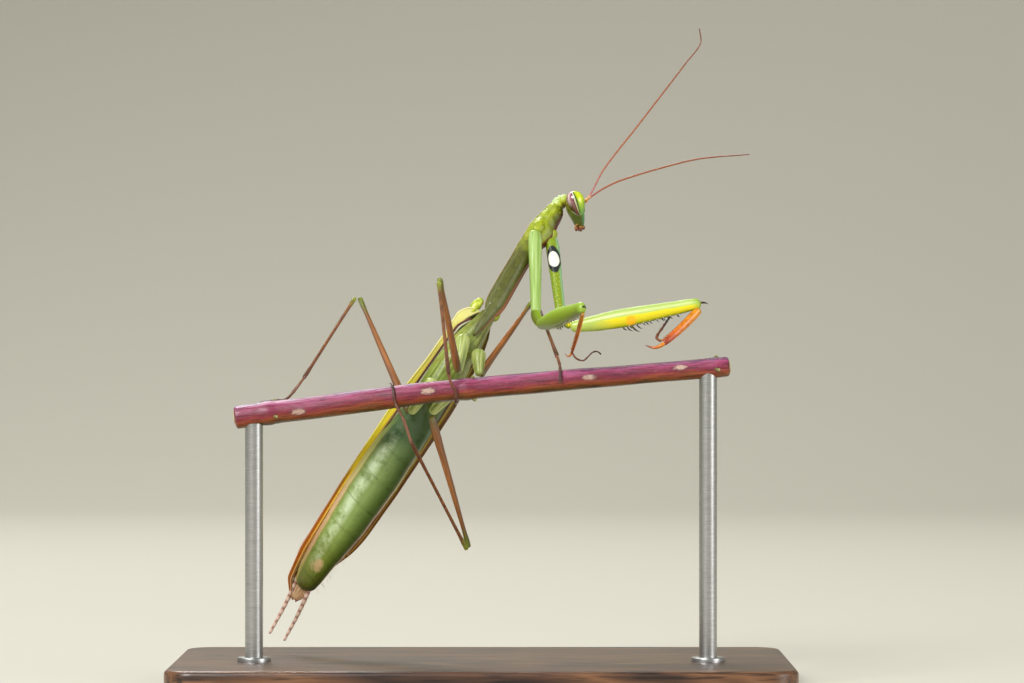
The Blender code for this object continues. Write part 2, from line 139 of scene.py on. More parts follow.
def face_outwards():
    """Turns every face outwards and leaves edit mode."""
    bpy.ops.mesh.select_all(action="SELECT")
    bpy.ops.mesh.normals_make_consistent(inside=False)
    bpy.ops.object.mode_set(mode="OBJECT")


def edges_where(test):
    """Selects, in edit mode, the edges that pass a test."""
    bpy.ops.mesh.select_mode(type="EDGE")
    bpy.ops.mesh.select_all(action="DESELECT")
    mesh = bmesh.from_edit_mesh(bpy.context.object.data)
    for edge in mesh.edges:
        edge.select_set(test(edge))
    bmesh.update_edit_mesh(bpy.context.object.data)


def smooth_object(piece, levels=0, angle=40):
    """Applies a subdivision and smooth shading."""
    bpy.ops.object.select_all(action="DESELECT")
    piece.select_set(True)
    bpy.context.view_layer.objects.active = piece
    if levels:
        soften = piece.modifiers.new("soften", "SUBSURF")
        soften.levels = soften.render_levels = levels
        bpy.ops.object.modifier_apply(modifier=soften.name)
    bpy.ops.object.shade_smooth_by_angle(angle=math.radians(angle))
    return piece


def fit(piece, name, look, slot, *nodes):
    """Names a piece, gives it its material, and lets it stand for its solids."""
    piece.name = piece.data.name = name
    piece.data.materials.clear()
    piece.data.materials.append(look)
    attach(piece, "root")
    if nodes:
        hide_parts(*nodes)
    return piece


base_low, base_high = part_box("stand_base")
base = start(bpy.ops.mesh.primitive_cube_add, size=1, location=(base_low + base_high) / 2, scale=base_high - base_low)
bpy.ops.object.transform_apply()
bpy.ops.object.mode_set(mode="EDIT")
edges_where(lambda edge: abs(edge.verts[0].co.z - edge.verts[1].co.z) > 1 * MM)
bpy.ops.mesh.bevel(offset=BASE_CORNER * MM, segments=10, affect="EDGES")
edges_where(lambda edge: all(v.co.z > base_high.z - 0.01 * MM for v in edge.verts) and edge.calc_face_angle(0) > 1)
bpy.ops.mesh.bevel(offset=BASE_EASE * MM, segments=5, affect="EDGES")
face_outwards()
smooth_object(base)

# Walnut: chocolate heartwood with darker growth lines along the grain and short open pores.
walnut, add = new_material("Oiled walnut")
coords = add("TexCoord").outputs["Object"]
rings = add("TexNoise", add("Mapping", coords, Scale=(0.10, 1.0, 1.0)), per(WALNUT_RING * 3), 3.0, Distortion=0.6)
bands = add("Math PINGPONG", add("Math MULTIPLY", rings, 14.0), 1.0)
heart = add("ValToRGB", bands, {0: "#2c1a10", 0.35: "#4d3120", 0.75: "#6a462c", 1: "#7b5436"})
pores = add("TexNoise", add("Mapping", coords, Scale=(0.06, 1.0, 1.0)), per(WALNUT_PORE * 2), 2.0)
pore_dark = add("ValToRGB", pores, {0.36: "#3a3a3a", 0.50: "#ffffff"})
wood = add("MixRGB MULTIPLY", 0.75, heart, pore_dark)
surface(walnut, wood, pores, 0.03, 0.38, Coat_Weight=0.25, Coat_Roughness=0.3)
fit(base, "base_block", walnut, "stand_wood", "stand_base")


# ---------------- rods
# Two rods of brushed stainless steel hold the stem up. Each is turned from bar, pressed into
# the base through a thin collar, and glued into the underside of the stem.

COLLAR_RADIUS = 1.7
COLLAR_HEIGHT = 0.45
COLLAR_EASE = 0.12
BRUSH_LINE = 0.05

brushed, add = new_material("Brushed stainless steel")
turned = add("Mapping", add("TexCoord").outputs["Object"], Scale=(0.05, 0.05, 1.0))
lines = add("TexNoise", turned, per(BRUSH_LINE), 2.0)
steel_tone = add("ValToRGB", lines, {0.3: "#a9a9a8", 0.7: "#c4c4c2"})
surface(brushed, steel_tone, lines, 0.004, add("MapRange", lines, 0, 1, 0.24, 0.42), Metallic=1.0)


def pick_top(height):
    """Selects, in edit mode, the level faces at a height."""
    bpy.ops.mesh.select_all(action="DESELECT")
    mesh = bmesh.from_edit_mesh(bpy.context.object.data)
    for face in mesh.faces:
        face.select_set(abs(face.calc_center_median().z - height) < 1e-6 and abs(face.normal.z) > 0.9)
    bmesh.update_edit_mesh(bpy.context.object.data)


for rod_side in ("left", "right"):
    low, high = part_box("stand_rod_" + rod_side)
    radius = (high.x - low.x) / 2
    middle = Vector(((low.x + high.x) / 2, (low.y + high.y) / 2, 0))
    rod = start(bpy.ops.mesh.primitive_cylinder_add, vertices=64, radius=COLLAR_RADIUS * MM, depth=COLLAR_HEIGHT * MM,
                location=middle + Vector((0, 0, base_high.z + COLLAR_HEIGHT / 2 * MM)))
    bpy.ops.object.transform_apply()
    bpy.ops.object.mode_set(mode="EDIT")
    bpy.ops.mesh.select_mode(type="FACE")
    top_of_collar = base_high.z + COLLAR_HEIGHT * MM
    pick_top(top_of_collar)
    bpy.ops.mesh.bevel(offset=COLLAR_EASE * MM, segments=3, affect="EDGES")
    pick_top(top_of_collar)
    bpy.ops.mesh.inset(thickness=(COLLAR_RADIUS - COLLAR_EASE) * MM - radius)
    bpy.ops.mesh.extrude_region_move(TRANSFORM_OT_translate={"value": (0, 0, high.z - top_of_collar)})
    face_outwards()
    smooth_object(rod, angle=30)
    fit(rod, "rod_and_collar_" + rod_side, brushed, "stand_steel", "stand_rod_" + rod_side)


# ---------------- stem
# A living herb stem as thick as a match, cut clean at both ends. Its skin is crimson where the
# sun reaches, with a pale pink painted highlight along the top, and olive-brown below, ribbed
# lengthwise, with a few pale scars and three leaf nodes.

STEM_Y = -3.5
STEM_HEIGHTS = ((-24.8, 27.4), (-13.7, 28.8), (-6.1, 29.8), (6.8, 31.0), (16.5, 31.8), (24.8, 32.5))
STEM_RADII = ((0.0, 1.18), (0.5, 1.08), (1.0, 0.98))
STEM_NODES = ((0.07, 0.10), (0.47, 0.10), (0.97, 0.06))  # share of the length, and swelling
STEM_LENGTH = 49.6
STEM_RIB = 0.16
STEM_BLOTCH = 1.3


def between(keys, share):
    """Smooth value at a share of (share, value) keys, by a cubic with the neighbours' slopes."""
    last = len(keys) - 1
    i = min(max(sum(share > key[0] for key in keys) - 1, 0), last - 1)
    (s0, v0), (s1, v1) = keys[i], keys[i + 1]
    before, after = keys[max(i - 1, 0)], keys[min(i + 2, last)]
    span = s1 - s0
    slope0 = (v1 - before[1]) * (span / (s1 - before[0]))
    slope1 = (after[1] - v0) * (span / (after[0] - s0))
    t = min(max((share - s0) / span, 0.0), 1.0)
    return (v0 * (2 * t**3 - 3 * t**2 + 1) + slope0 * (t**3 - 2 * t**2 + t)
            + v1 * (3 * t**2 - 2 * t**3) + slope1 * (t**3 - t**2))


def with_vectors(keys):
    """Keys whose rows of sizes can be blended."""
    return [(share, Vector(row)) for share, row in keys]


def square_to(vector, along):
    """The unit direction of what is left of a vector across a line."""
    return (vector - along * vector.dot(along)).normalized()


def round_ring(sides):
    """Angle, cosine and sine of each corner of a ring."""
    for j in range(sides):
        angle = 2 * math.pi * (j + 0.5) / sides
        yield angle, math.cos(angle), math.sin(angle)


def hump(x, middle, width):
    """A smooth hump, 1 at its middle and next to nothing two widths away."""
    return math.exp(-((x - middle) / width) ** 2)


class Line:
    """A smooth line through a few points, read by its share of the length."""

    def __init__(self, points):
        total, keys = 0.0, [(0.0, Vector(points[0]))]
        for a, b in zip(points, points[1:]):
            total += (Vector(b) - Vector(a)).length
            keys.append((total, Vector(b)))
        self.length = total
        self.keys = [(s / total, p) for s, p in keys]

    def at(self, share):
        return between(self.keys, share)

    def along(self, share):
        return (self.at(min(share + 0.01, 1)) - self.at(max(share - 0.01, 0))).normalized()

    def frame(self, share, up):
        """A place on the line, and its directions along, to the side and to the top."""
        along = self.along(share)
        side = along.cross(up).normalized()
        return self.at(share), along, side, side.cross(along)


def pull(name, rings, shares):
    """Pulls a disc out ring by ring. Each ring is a row of (point, side, top), in millimetres."""
    piece = start(bpy.ops.mesh.primitive_circle_add, vertices=len(rings[0]), radius=MM, fill_type="NGON")
    for key in ("along", "side", "top"):
        piece.data.attributes.new(key, "FLOAT", "POINT")
    bpy.ops.object.mode_set(mode="EDIT")
    for i, (ring, share) in enumerate(zip(rings, shares)):
        if i:
            bpy.ops.mesh.extrude_region()
        mesh = bmesh.from_edit_mesh(piece.data)
        layers = [mesh.verts.layers.float[key] for key in ("along", "side", "top")]
        cap = next(face for face in mesh.faces if face.select)
        for corner, (point, side, top) in zip(cap.loops, ring):
            corner.vert.co = point * MM
            for layer, value in zip(layers, (share, side, top)):
                corner.vert[layer] = value
    face_outwards()
    piece.name = piece.data.name = name
    return piece


UP = Vector((0, 0, 1))
FRONT = Vector((1, 0, 0))
DOME = ((0.985, 0.17), (0.82, 0.57), (0.5, 0.87), (0.17, 0.985))  # share of the dome's depth, and scale
DOME_LIMIT = 0.45  # of the line's length
DOME_GAP = 1.1  # from a dome's foot to the next ring, in depths of the dome


def limb(name, points, sizes, up=UP, sides=16, count=12, levels=1, domes=(0.9, 0.9), shape=None):
    """A skin round a line. sizes holds (share, radius or (half width, height above, below)).

    domes is each end's depth over its radius, 0 for a cut end. shape(angle, share) swells it.
    """
    line = points if isinstance(points, Line) else Line(points)
    keys = [(share, Vector((size,) * 3 if isinstance(size, (int, float)) else size)) for share, size in sizes]
    first, last = (min(dome * between(keys, end).x / line.length, DOME_LIMIT) for end, dome in enumerate(domes))
    places = [(i / (count - 1), 1.0) for i in range(count)]
    if first:
        places = [(first * (1 - back), scale) for back, scale in DOME] + [
            row for row in places if row[0] > first * DOME_GAP]
    if last:
        places = [row for row in places if row[0] < 1 - last * DOME_GAP] + [
            (1 - last * (1 - back), scale) for back, scale in reversed(DOME)]
    rings = []
    for share, scale in places:
        width, above, below = between(keys, share)
        centre, _, side, top = line.frame(share, up)
        ring = []
        for angle, c, s in round_ring(sides):
            swell = scale * (shape(angle, share) if shape else 1.0)
            height = above if s > 0 else below
            ring.append((centre + swell * (side * width * c + top * height * s), c, s))
        rings.append(ring)
    return smooth_object(pull(name, rings, [share for share, _ in places]), levels)


def attributes(add, *names):
    """The sockets of a piece's own attributes."""
    return [add("Attribute", attribute_name=name).outputs["Fac"] for name in names]


def object_noise(add, size, *detail):
    """Noise in the object's own space, with features of a size in millimetres."""
    return add("TexNoise", add("TexCoord").outputs["Object"], per(size), *detail)


def wander(add, value, noise, reach):
    """A value that noise shifts to and fro."""
    return add("Math ADD", value, add("MapRange", noise, 0, 1, -reach, reach))


def drawn_noise(add, place, scale, *detail, **settings):
    """Noise drawn out over a limb: place is its (side, top, along), with a scale for each."""
    return add("TexNoise", add("Mapping", add("CombineXYZ", *place), Scale=scale), 1.0, *detail, **settings)


def from_spot(add, u, v, middle, half):
    """How far a place (u, v) is from a spot's middle, squared, in the spot's half sizes."""
    u, v = (add("Math DIVIDE", add("Math SUBTRACT", place, centre), size)
            for place, centre, size in zip((u, v), middle, half))
    return add("Math MULTIPLY_ADD", v, v, add("Math MULTIPLY", u, u))


def mark(piece, name, value):
    """Sets an attribute all over a piece, to a number or to a function of what it was."""
    layers = piece.data.attributes
    for item in (layers.get(name) or layers.new(name, "FLOAT", "POINT")).data:
        item.value = value(item.value) if callable(value) else value


def join(pieces):
    """Makes one object of several, each keeping its own attributes."""
    bpy.ops.object.select_all(action="DESELECT")
    for piece in pieces:
        piece.select_set(True)
    bpy.context.view_layer.objects.active = pieces[0]
    bpy.ops.object.join()
    return pieces[0]


def stem_middle(x):
    return Vector((x, STEM_Y, between(STEM_HEIGHTS, x)))


def stem_swell(angle, share):
    """Leaf nodes stand out, and low ribs run the whole length."""
    nodes = sum(rise * hump(share, place, 0.010) for place, rise in STEM_NODES)
    waver = 0.02 * math.sin(17 * share + 2 * angle) + 0.012 * math.sin(41 * share - angle)
    return 1.0 + nodes + waver + 0.012 * math.cos(9 * angle + 5 * share)


stem_line = Line([stem_middle(x) for x, _ in STEM_HEIGHTS])
stem = limb("stem", stem_line, STEM_RADII, sides=36, count=110, domes=(0, 0), shape=stem_swell)

# Herb bark: thin and waxy, wine-red above with a pale pink painted highlight near the top, and
# olive-brown below, with fine ribs, a bloom of pale flecks and a few corky scars.
bark, add = new_material("Waxy herb bark")
along, side, top = attributes(add, "along", "side", "top")
ribs = drawn_noise(add, (side, top, along), (1.1 / STEM_RIB, 1.1 / STEM_RIB, 24.0), 4.0, 0.65)
patches = drawn_noise(add, (side, top, along), (
    1.1 / STEM_BLOTCH, 1.1 / STEM_BLOTCH, STEM_LENGTH / STEM_BLOTCH / 2.4), 5.0, 0.6)
specks = drawn_noise(add, (side, top, along), (9.0, 9.0, 130.0), 3.0, 0.7)
height = add("MapRange", add("Math MULTIPLY_ADD", patches, 1.3, top), -0.55, 1.65)
# The pale pink stop at 0.87 is a painted highlight along the top of the stem.
skin = add("ValToRGB", height, {
    0: "#40340f", 0.12: "#5f4816", 0.24: "#8a501c", 0.36: "#984426", 0.48: "#862434", 0.62: "#781c40",
    0.74: "#962f5a", 0.87: "#ae5884", 1: "#74406c"})
shade = add("ValToRGB", ribs, {0.34: "#7a4450", 0.50: "#ecd6d8", 0.68: "#ffffff"})
skin = add("MixRGB MULTIPLY", 0.85, skin, shade)
skin = add("MixRGB", add("ValToRGB", specks, {0.60: "#000000", 0.74: "#909090"}), skin, "#cf9a9c")
for scar in ((0.393, 0.15), (0.717, 0.10), (0.13, -0.20), (0.90, 0.35)):
    reach = add("Math MULTIPLY_ADD", specks, 4.5, from_spot(add, along, top, scar, (0.013, 0.26)))
    skin = add("MixRGB", add("MapRange", reach, 4.3, 3.5, 0, 0.5), skin, "#4a1c26")
    skin = add("MixRGB", add("MapRange", reach, 3.6, 2.4, 0, 0.85), skin, "#c8ab98")
surface(bark, skin, ribs, 0.07, 0.34, Coat_Weight=0.2, Coat_Roughness=0.3,
        Subsurface_Weight=0.04, Subsurface_Radius=(0.0005, 0.0002, 0.0002))
fit(stem, "stem_bark", bark, "perch", "perch_stem")

# Each cut end shows a disc of pith, and cut leaf bases stand round every node.
pith, add = new_material("Pale pith")
cells = add("TexVoronoi", add("TexCoord").outputs["Object"], per(0.12))
surface(pith, add("ValToRGB", cells, {0.1: "#d9d2ae", 0.5: "#b3a678"}), cells, 0.02, 0.8)
discs = []
for end, way in ((0, -1), (1, 1)):
    centre, onward = stem_line.at(end), stem_line.along(end) * way
    discs.append(limb("pith", [centre - onward * 0.1, centre + onward * 0.02], [(0, 0.62), (1, 0.60)],
                      sides=24, count=2, levels=0, domes=(0, 0)))
for share, turn in ((0.08, 75), (0.08, 200), (0.08, 305), (0.48, 110), (0.48, 250), (0.97, 60), (0.97, 190)):
    centre, onward = stem_line.at(share), stem_line.along(share)
    out = square_to(Vector((0, math.cos(math.radians(turn)), math.sin(math.radians(turn)))), onward)
    middle = centre + out * 1.15 + onward * 0.15
    discs.append(limb("leaf_base", [centre + out * 0.7, middle, centre + out * 1.32 + onward * 0.36],
                      [(0, 0.32), (0.6, 0.19), (1, 0.14)], sides=10, count=8, levels=0, domes=(0, 0), shape=stem_swell))
for disc, tag in zip(discs, ("left", "right")):
    fit(disc, "pith_" + tag, pith, "perch")
leaf_base, add = new_material("Cut leaf base")
surface(leaf_base, add("ValToRGB", *attributes(add, "along"), {
    0: "#7a3040", 0.5: "#74503a", 0.9: "#6f7a38", 1: "#b0a874"}), roughness=0.6)
fit(join(discs[2:]), "leaf_bases", leaf_base, "perch")


# ---------------- trunk
# The hind thorax and the belly are one skin of waxed green chitin. Hard plates lap towards the
# tail, each with its rear edge standing over the next, and soft pink folds join them at the sides.

DORSAL = Vector((-0.144, 0.985, 0.097))
TRUNK_LINE = Line([(0.9, 2.4, 38.1), (-2.5, 1.9, 33.9), (-5.8, 2.0, 28.8), (-10.75, 3.15, 21.2),
                   (-12.5, 3.7, 18.7), (-17.5, 5.4, 11.0), (-18.4, 5.7, 9.6)])
TRUNK_SIZES = [
    (0.0, (0.80, 0.75, 0.85)), (0.05, (1.20, 1.05, 1.15)), (0.13, (1.88, 1.40, 1.50)),
    (0.25, (2.15, 1.55, 1.70)), (0.33, (2.08, 1.55, 1.65)), (0.42, (2.20, 1.6, 1.75)),
    (0.60, (2.28, 1.6, 1.75)), (0.74, (2.12, 1.5, 1.65)), (0.82, (1.90, 1.35, 1.48)), (0.90, (1.64, 1.12, 1.25)),
    (0.96, (1.38, 0.90, 1.0)), (1.0, (1.12, 0.70, 0.76)),
]
TRUNK_SKEW = {  # how much wider or narrower each side is than the middle size
    "right": [(0.0, -0.15), (0.08, -0.27), (0.40, -0.27), (0.50, -0.08), (0.76, -0.05), (0.86, 0.03), (1.0, 0.06)],
    "left": [(0.0, -0.1), (0.2, 0.0), (0.5, 0.04), (0.70, 0.05), (0.80, 0.02), (0.90, -0.12), (1.0, -0.15)],
}
THORAX_END = 0.33
PLATE_PITCH = 0.0903  # of the trunk's length
PLATE_START = 0.589 - 3 * PLATE_PITCH
PLATE_SLANT = 0.014
PLATE_LAP = 0.94  # where a plate's raised rear edge drops, as a share of the plate
PLATES = 7.2
CUTICLE_PIT = 0.11


def plate_share(angle, share):
    """How far along its own belly plate a place is, from 0 to 1, or None on the thorax."""
    place = (share - PLATE_SLANT * math.cos(angle) - PLATE_START) / PLATE_PITCH
    return place % 1.0 if 0 < place < PLATES else None


def trunk_swell(angle, share):
    """Plates that lap, soft folds at the sides, and a body that swings a little from side to side."""
    c, s = math.cos(angle), math.sin(angle)
    slimmer = between(TRUNK_SKEW["left" if c > 0 else "right"], share) * abs(c)
    own = plate_share(angle, share)
    if own is None:
        waist = -0.06 * hump(share, 0.165, 0.016) - 0.05 * hump(share, 0.31, 0.016)
        furrow = -0.05 * hump(c, 0, 0.09) * (s < 0) * (share > 0.06)
        return 1.0 + slimmer + waist + furrow + 0.03 * math.cos(6 * angle) * hump(share, 0.17, 0.12)
    lap = 0.022 * (own - 0.6) if own < PLATE_LAP else 0.0075 - 0.30 * (own - PLATE_LAP)
    fold = -0.025 * hump(abs(c), 0.87, 0.03) * (s < 0.3)
    fold += 0.08 * hump(c, -1, 0.10)
    return 1.0 + slimmer + lap + fold


trunk = limb("trunk", TRUNK_LINE, TRUNK_SIZES, DORSAL, sides=48, count=150, domes=(0.7, 0.75), shape=trunk_swell)


def cuticle(name, paint, roughness=0.34, pit=CUTICLE_PIT, depth=0.012, coat=0.25):
    """Waxed chitin: satin, faintly translucent and finely pitted. paint gives colour and relief."""
    made, add = new_material(name)
    colour, relief = paint(add)
    height = pits = object_noise(add, pit, 2.0)
    if relief:
        height = add("Math MULTIPLY_ADD", relief, 4.0, pits)
    uneven = add("MapRange", pits, 0, 1, roughness - 0.08, roughness + 0.10)
    surface(made, colour, height, depth, uneven, Coat_Weight=coat, Coat_Roughness=0.12,
            Subsurface_Weight=0.12, Subsurface_Radius=(0.0004, 0.0005, 0.00015), IOR=1.5)
    return made


def paint_trunk(add):
    """Pale streaked thorax with a painted stem shadow at the waist, mid-green belly with painted side shade and a
    painted highlight, olive tail end; peach side folds behind a brown line.
    """
    along, side, top = attributes(add, "along", "side", "top")
    cloud = object_noise(add, 1.3, 5.0, 0.6)
    place = wander(add, along, cloud, 0.04)
    # The dark band from 0.355 to 0.44 along is mostly painted shadow of the stem in front, over skin a little darker
    # there.
    skin = add("ValToRGB", place, {
        0: "#666a2e", 0.06: "#8c9450", 0.12: "#adb866", 0.28: "#93a552", 0.355: "#4a6236", 0.44: "#4d6e40",
        0.54: "#84985a", 0.66: "#90a462", 0.78: "#96a85e", 0.88: "#8a983c", 0.94: "#7c842c", 1: "#5a5a1a"})
    mottle = add("ValToRGB", cloud, {0.34: "#b4bf9c", 0.50: "#f0f4e2", 0.66: "#ffffff"})
    skin = add("MixRGB MULTIPLY", 0.7, skin, mottle)
    # Painted shade darkens the belly to the left, and a patchy painted highlight lies to the right of its middle.
    rear = add("MapRange", along, 0.40, 0.52)
    painted_side_shade = add("ValToRGB", add("MapRange", add("Math MULTIPLY_ADD", cloud, 0.9, side), -0.6, 1.5), {
        0: "#e8eeb8", 0.28: "#ffffff", 0.52: "#e4ecd4", 0.76: "#9db084", 1: "#6b7f5a"})
    skin = add("MixRGB MULTIPLY", rear, skin, painted_side_shade)
    # Painted highlight: pale patches right of the middle, faded out before the tail.
    painted_highlight = add("MapRange", add("Math ABSOLUTE", add("Math ADD", side, 0.50)), 0.34, 0.08)
    for share in (add("MapRange", cloud, 0.40, 0.58, 0.05, 0.75), rear, add("MapRange", along, 0.92, 0.86)):
        painted_highlight = add("Math MULTIPLY", painted_highlight, share)
    skin = add("MixRGB", painted_highlight, skin, "#cddcb4")
    # The thorax is streaked lengthwise, with one arched seam.
    streak = add("ValToRGB", drawn_noise(add, (side, top, along), (7.0, 7.0, 9.0), 3.0), {
        0.36: "#8f9a52", 0.48: "#e6e9b8", 0.60: "#ffffff"})
    on_thorax = add("MapRange", along, THORAX_END + 0.06, THORAX_END - 0.04, 0, 0.85)
    skin = add("MixRGB MULTIPLY", on_thorax, skin, streak)
    bow = add("Math ABSOLUTE", add("Math MULTIPLY", side, 0.05))
    seam = add("Math SUBTRACT", add("Math ABSOLUTE", add("Math SUBTRACT", along, 0.165)), bow)
    seam = add("ValToRGB", add("Math ABSOLUTE", seam), {0: "#b8b8b8", 0.006: "#909090", 0.011: "#000000"})
    skin = add("MixRGB", seam, skin, "#8a7a1c")
    # Each plate is pale at its front edge and dark where the next begins.
    own = add("Math SUBTRACT", add("Math MULTIPLY_ADD", side, -PLATE_SLANT, along), PLATE_START)
    edge = add("ValToRGB", add("Math FRACT", add("Math DIVIDE", own, PLATE_PITCH)), {
        0: "#5b6a34", 0.022: "#96a878", 0.06: "#ffffff", 0.93: "#ffffff", 0.975: "#eef3da", 0.99: "#6c7c44"})
    faint = add("ValToRGB", cloud, {0.42: "#303030", 0.58: "#b0b0b0"})
    skin = add("MixRGB MULTIPLY", add("Math MULTIPLY", faint, rear), skin, edge)
    # Peach folds lie along both sides behind a brown line, and a pale line along the middle.
    beside = add("Math ABSOLUTE", side)
    fold = add("ValToRGB", beside, {0.895: "#000000", 0.915: "#e6e6e6"})
    fold_tone = add("ValToRGB", place, {
        0.45: "#b4bc62", 0.60: "#d2c47c", 0.68: "#dcb088", 0.86: "#d8a47c", 0.95: "#b0a050"})
    skin = add("MixRGB", add("Math MULTIPLY", fold, rear), skin, fold_tone)
    line = add("ValToRGB", beside, {0.85: "#000000", 0.87: "#989898", 0.89: "#989898", 0.905: "#000000"})
    skin = add("MixRGB", add("Math MULTIPLY", line, rear), skin, "#b08458")
    middle = add("ValToRGB", beside, {0: "#505050", 0.02: "#383838", 0.05: "#000000"})
    middle = add("Math MULTIPLY", middle, add("Math LESS_THAN", top, -0.5))
    skin = add("MixRGB", add("Math MULTIPLY", middle, rear), skin, "#b8c68a")
    blotch = from_spot(add, along, side, (0.905, -0.16), (0.022, 0.42))
    blotch = add("MapRange", add("Math MULTIPLY_ADD", cloud, -4.0, blotch), -1.0, -1.9, 0, 0.75)
    skin = add("MixRGB", blotch, skin, "#dcb686")
    return skin, drawn_noise(add, (side, top, along), (3.0, 3.0, 160.0), 2.0)


trunk_chitin = cuticle("Waxed green belly chitin", paint_trunk, 0.38, coat=0.15)
fit(trunk, "trunk_skin", trunk_chitin, "trunk", "pterothorax", "abdomen_front", "abdomen_middle", "abdomen_rear")

# The plate above the vent is tan and streaked, and the shoulders are two bright green knobs.
tail_plate = limb("tail_plate", [(-17.9, 5.75, 10.3), (-18.7, 6.0, 9.3), (-19.3, 6.15, 8.55)],
                  [(0, (0.85, 0.22, 0.22)), (0.5, (0.72, 0.18, 0.18)), (1, (0.42, 0.12, 0.12))],
                  DORSAL, sides=24, count=20,
                  shape=lambda angle, share: 1.0 + 0.03 * math.cos(10 * angle))


def paint_tail(add):
    """Tan, drawn out in orange-brown streaks towards its edge."""
    along, side = attributes(add, "along", "side")
    streaks = drawn_noise(add, (side, 0, along), (6.0, 1.0, 1.5), 3.0)
    return add("ValToRGB", streaks, {0.35: "#a87644", 0.5: "#cfa67a", 0.65: "#e2c79c"}), streaks


fit(tail_plate, "tail_plate", cuticle("Tan tail plate chitin", paint_tail, 0.4), "trunk")


def paint_shoulder(add):
    """Bright green, yellow on top."""
    return add("ValToRGB", object_noise(add, 0.5, 3.0), {0.36: "#96b028", 0.5: "#b2c030", 0.64: "#ced44c"}), None


shoulder_chitin = cuticle("Bright green shoulder chitin", paint_shoulder, 0.32)
for tag, points in (("right", [(-1.35, 2.7, 37.8), (-0.65, 2.85, 38.65), (0.0, 3.05, 39.35)]),
                    ("left", [(1.15, 3.3, 37.0), (1.3, 3.5, 37.8), (1.2, 3.7, 38.5)])):
    knob = limb("shoulder", points, [(0, (0.30, 0.18, 0.30)), (0.5, (0.54, 0.30, 0.50)), (1, (0.36, 0.22, 0.36))],
                DORSAL, sides=20, count=16)
    fit(knob, "shoulder_" + tag, shoulder_chitin, "trunk")


# ---------------- pronotum
# The long front thorax: an olive tube under a narrow shield, which swells over the forelegs'
# sockets. The shield's rim is a raised brown bead, and soft folds bulge at its front.

PRONOTUM_LINE = Line([(0.7, 2.2, 37.7), (3.3, 5.1, 42.3), (6.3, 7.9, 47.2), (7.8, 8.7, 49.2)])
PRONOTUM_SIZES = [
    (0.0, (0.62, 0.60, 0.70)), (0.06, (0.88, 0.68, 0.80)), (0.14, (1.0, 0.70, 0.82)), (0.5, (0.98, 0.72, 0.85)),
    (0.66, (1.12, 0.80, 0.95)), (0.77, (1.32, 0.85, 1.0)), (0.88, (1.05, 0.80, 0.90)),
    (1.0, (0.72, 0.65, 0.70)),
]


def pronotum_swell(angle, share):
    """A bead at each edge of the shield, a keel on its middle, and bulges over the sockets."""
    c, s = -math.cos(angle), math.sin(angle)
    bead = (0.17 if share < 0.6 else 0.10) * hump(s, 0.06, 0.075)
    under_bead = -0.05 * hump(s, -0.20, 0.09)
    keel = 0.06 * hump(math.degrees(angle), 90, 9)
    groove = -0.08 * hump(share, 0.80, 0.012) * (s > 0.1)
    near_neck = min(max((share - 0.74) / 0.08, 0), 1)
    folds = 0.035 * math.sin(share * 75 + 1.5 * c) * (s < -0.1) * near_neck
    oval = 0.10 * hump(share, 0.88, 0.03) * hump(c, -0.05, 0.22) * (s < 0)
    bulge = min(c, 0) * between([(0.0, 0.0), (0.62, 0.0), (0.73, 0.14), (0.80, 0.21), (0.95, 0.19), (1.0, 0.1)], share)
    bulge += max(c, 0) * (0.36 * hump(share, 0.75, 0.09) + 0.32 * hump(share, 0.93, 0.09))
    return 1.0 + bead + under_bead + keel + groove + folds + oval + bulge


pronotum = limb("pronotum", PRONOTUM_LINE, PRONOTUM_SIZES, DORSAL, sides=56, count=100, shape=pronotum_swell)


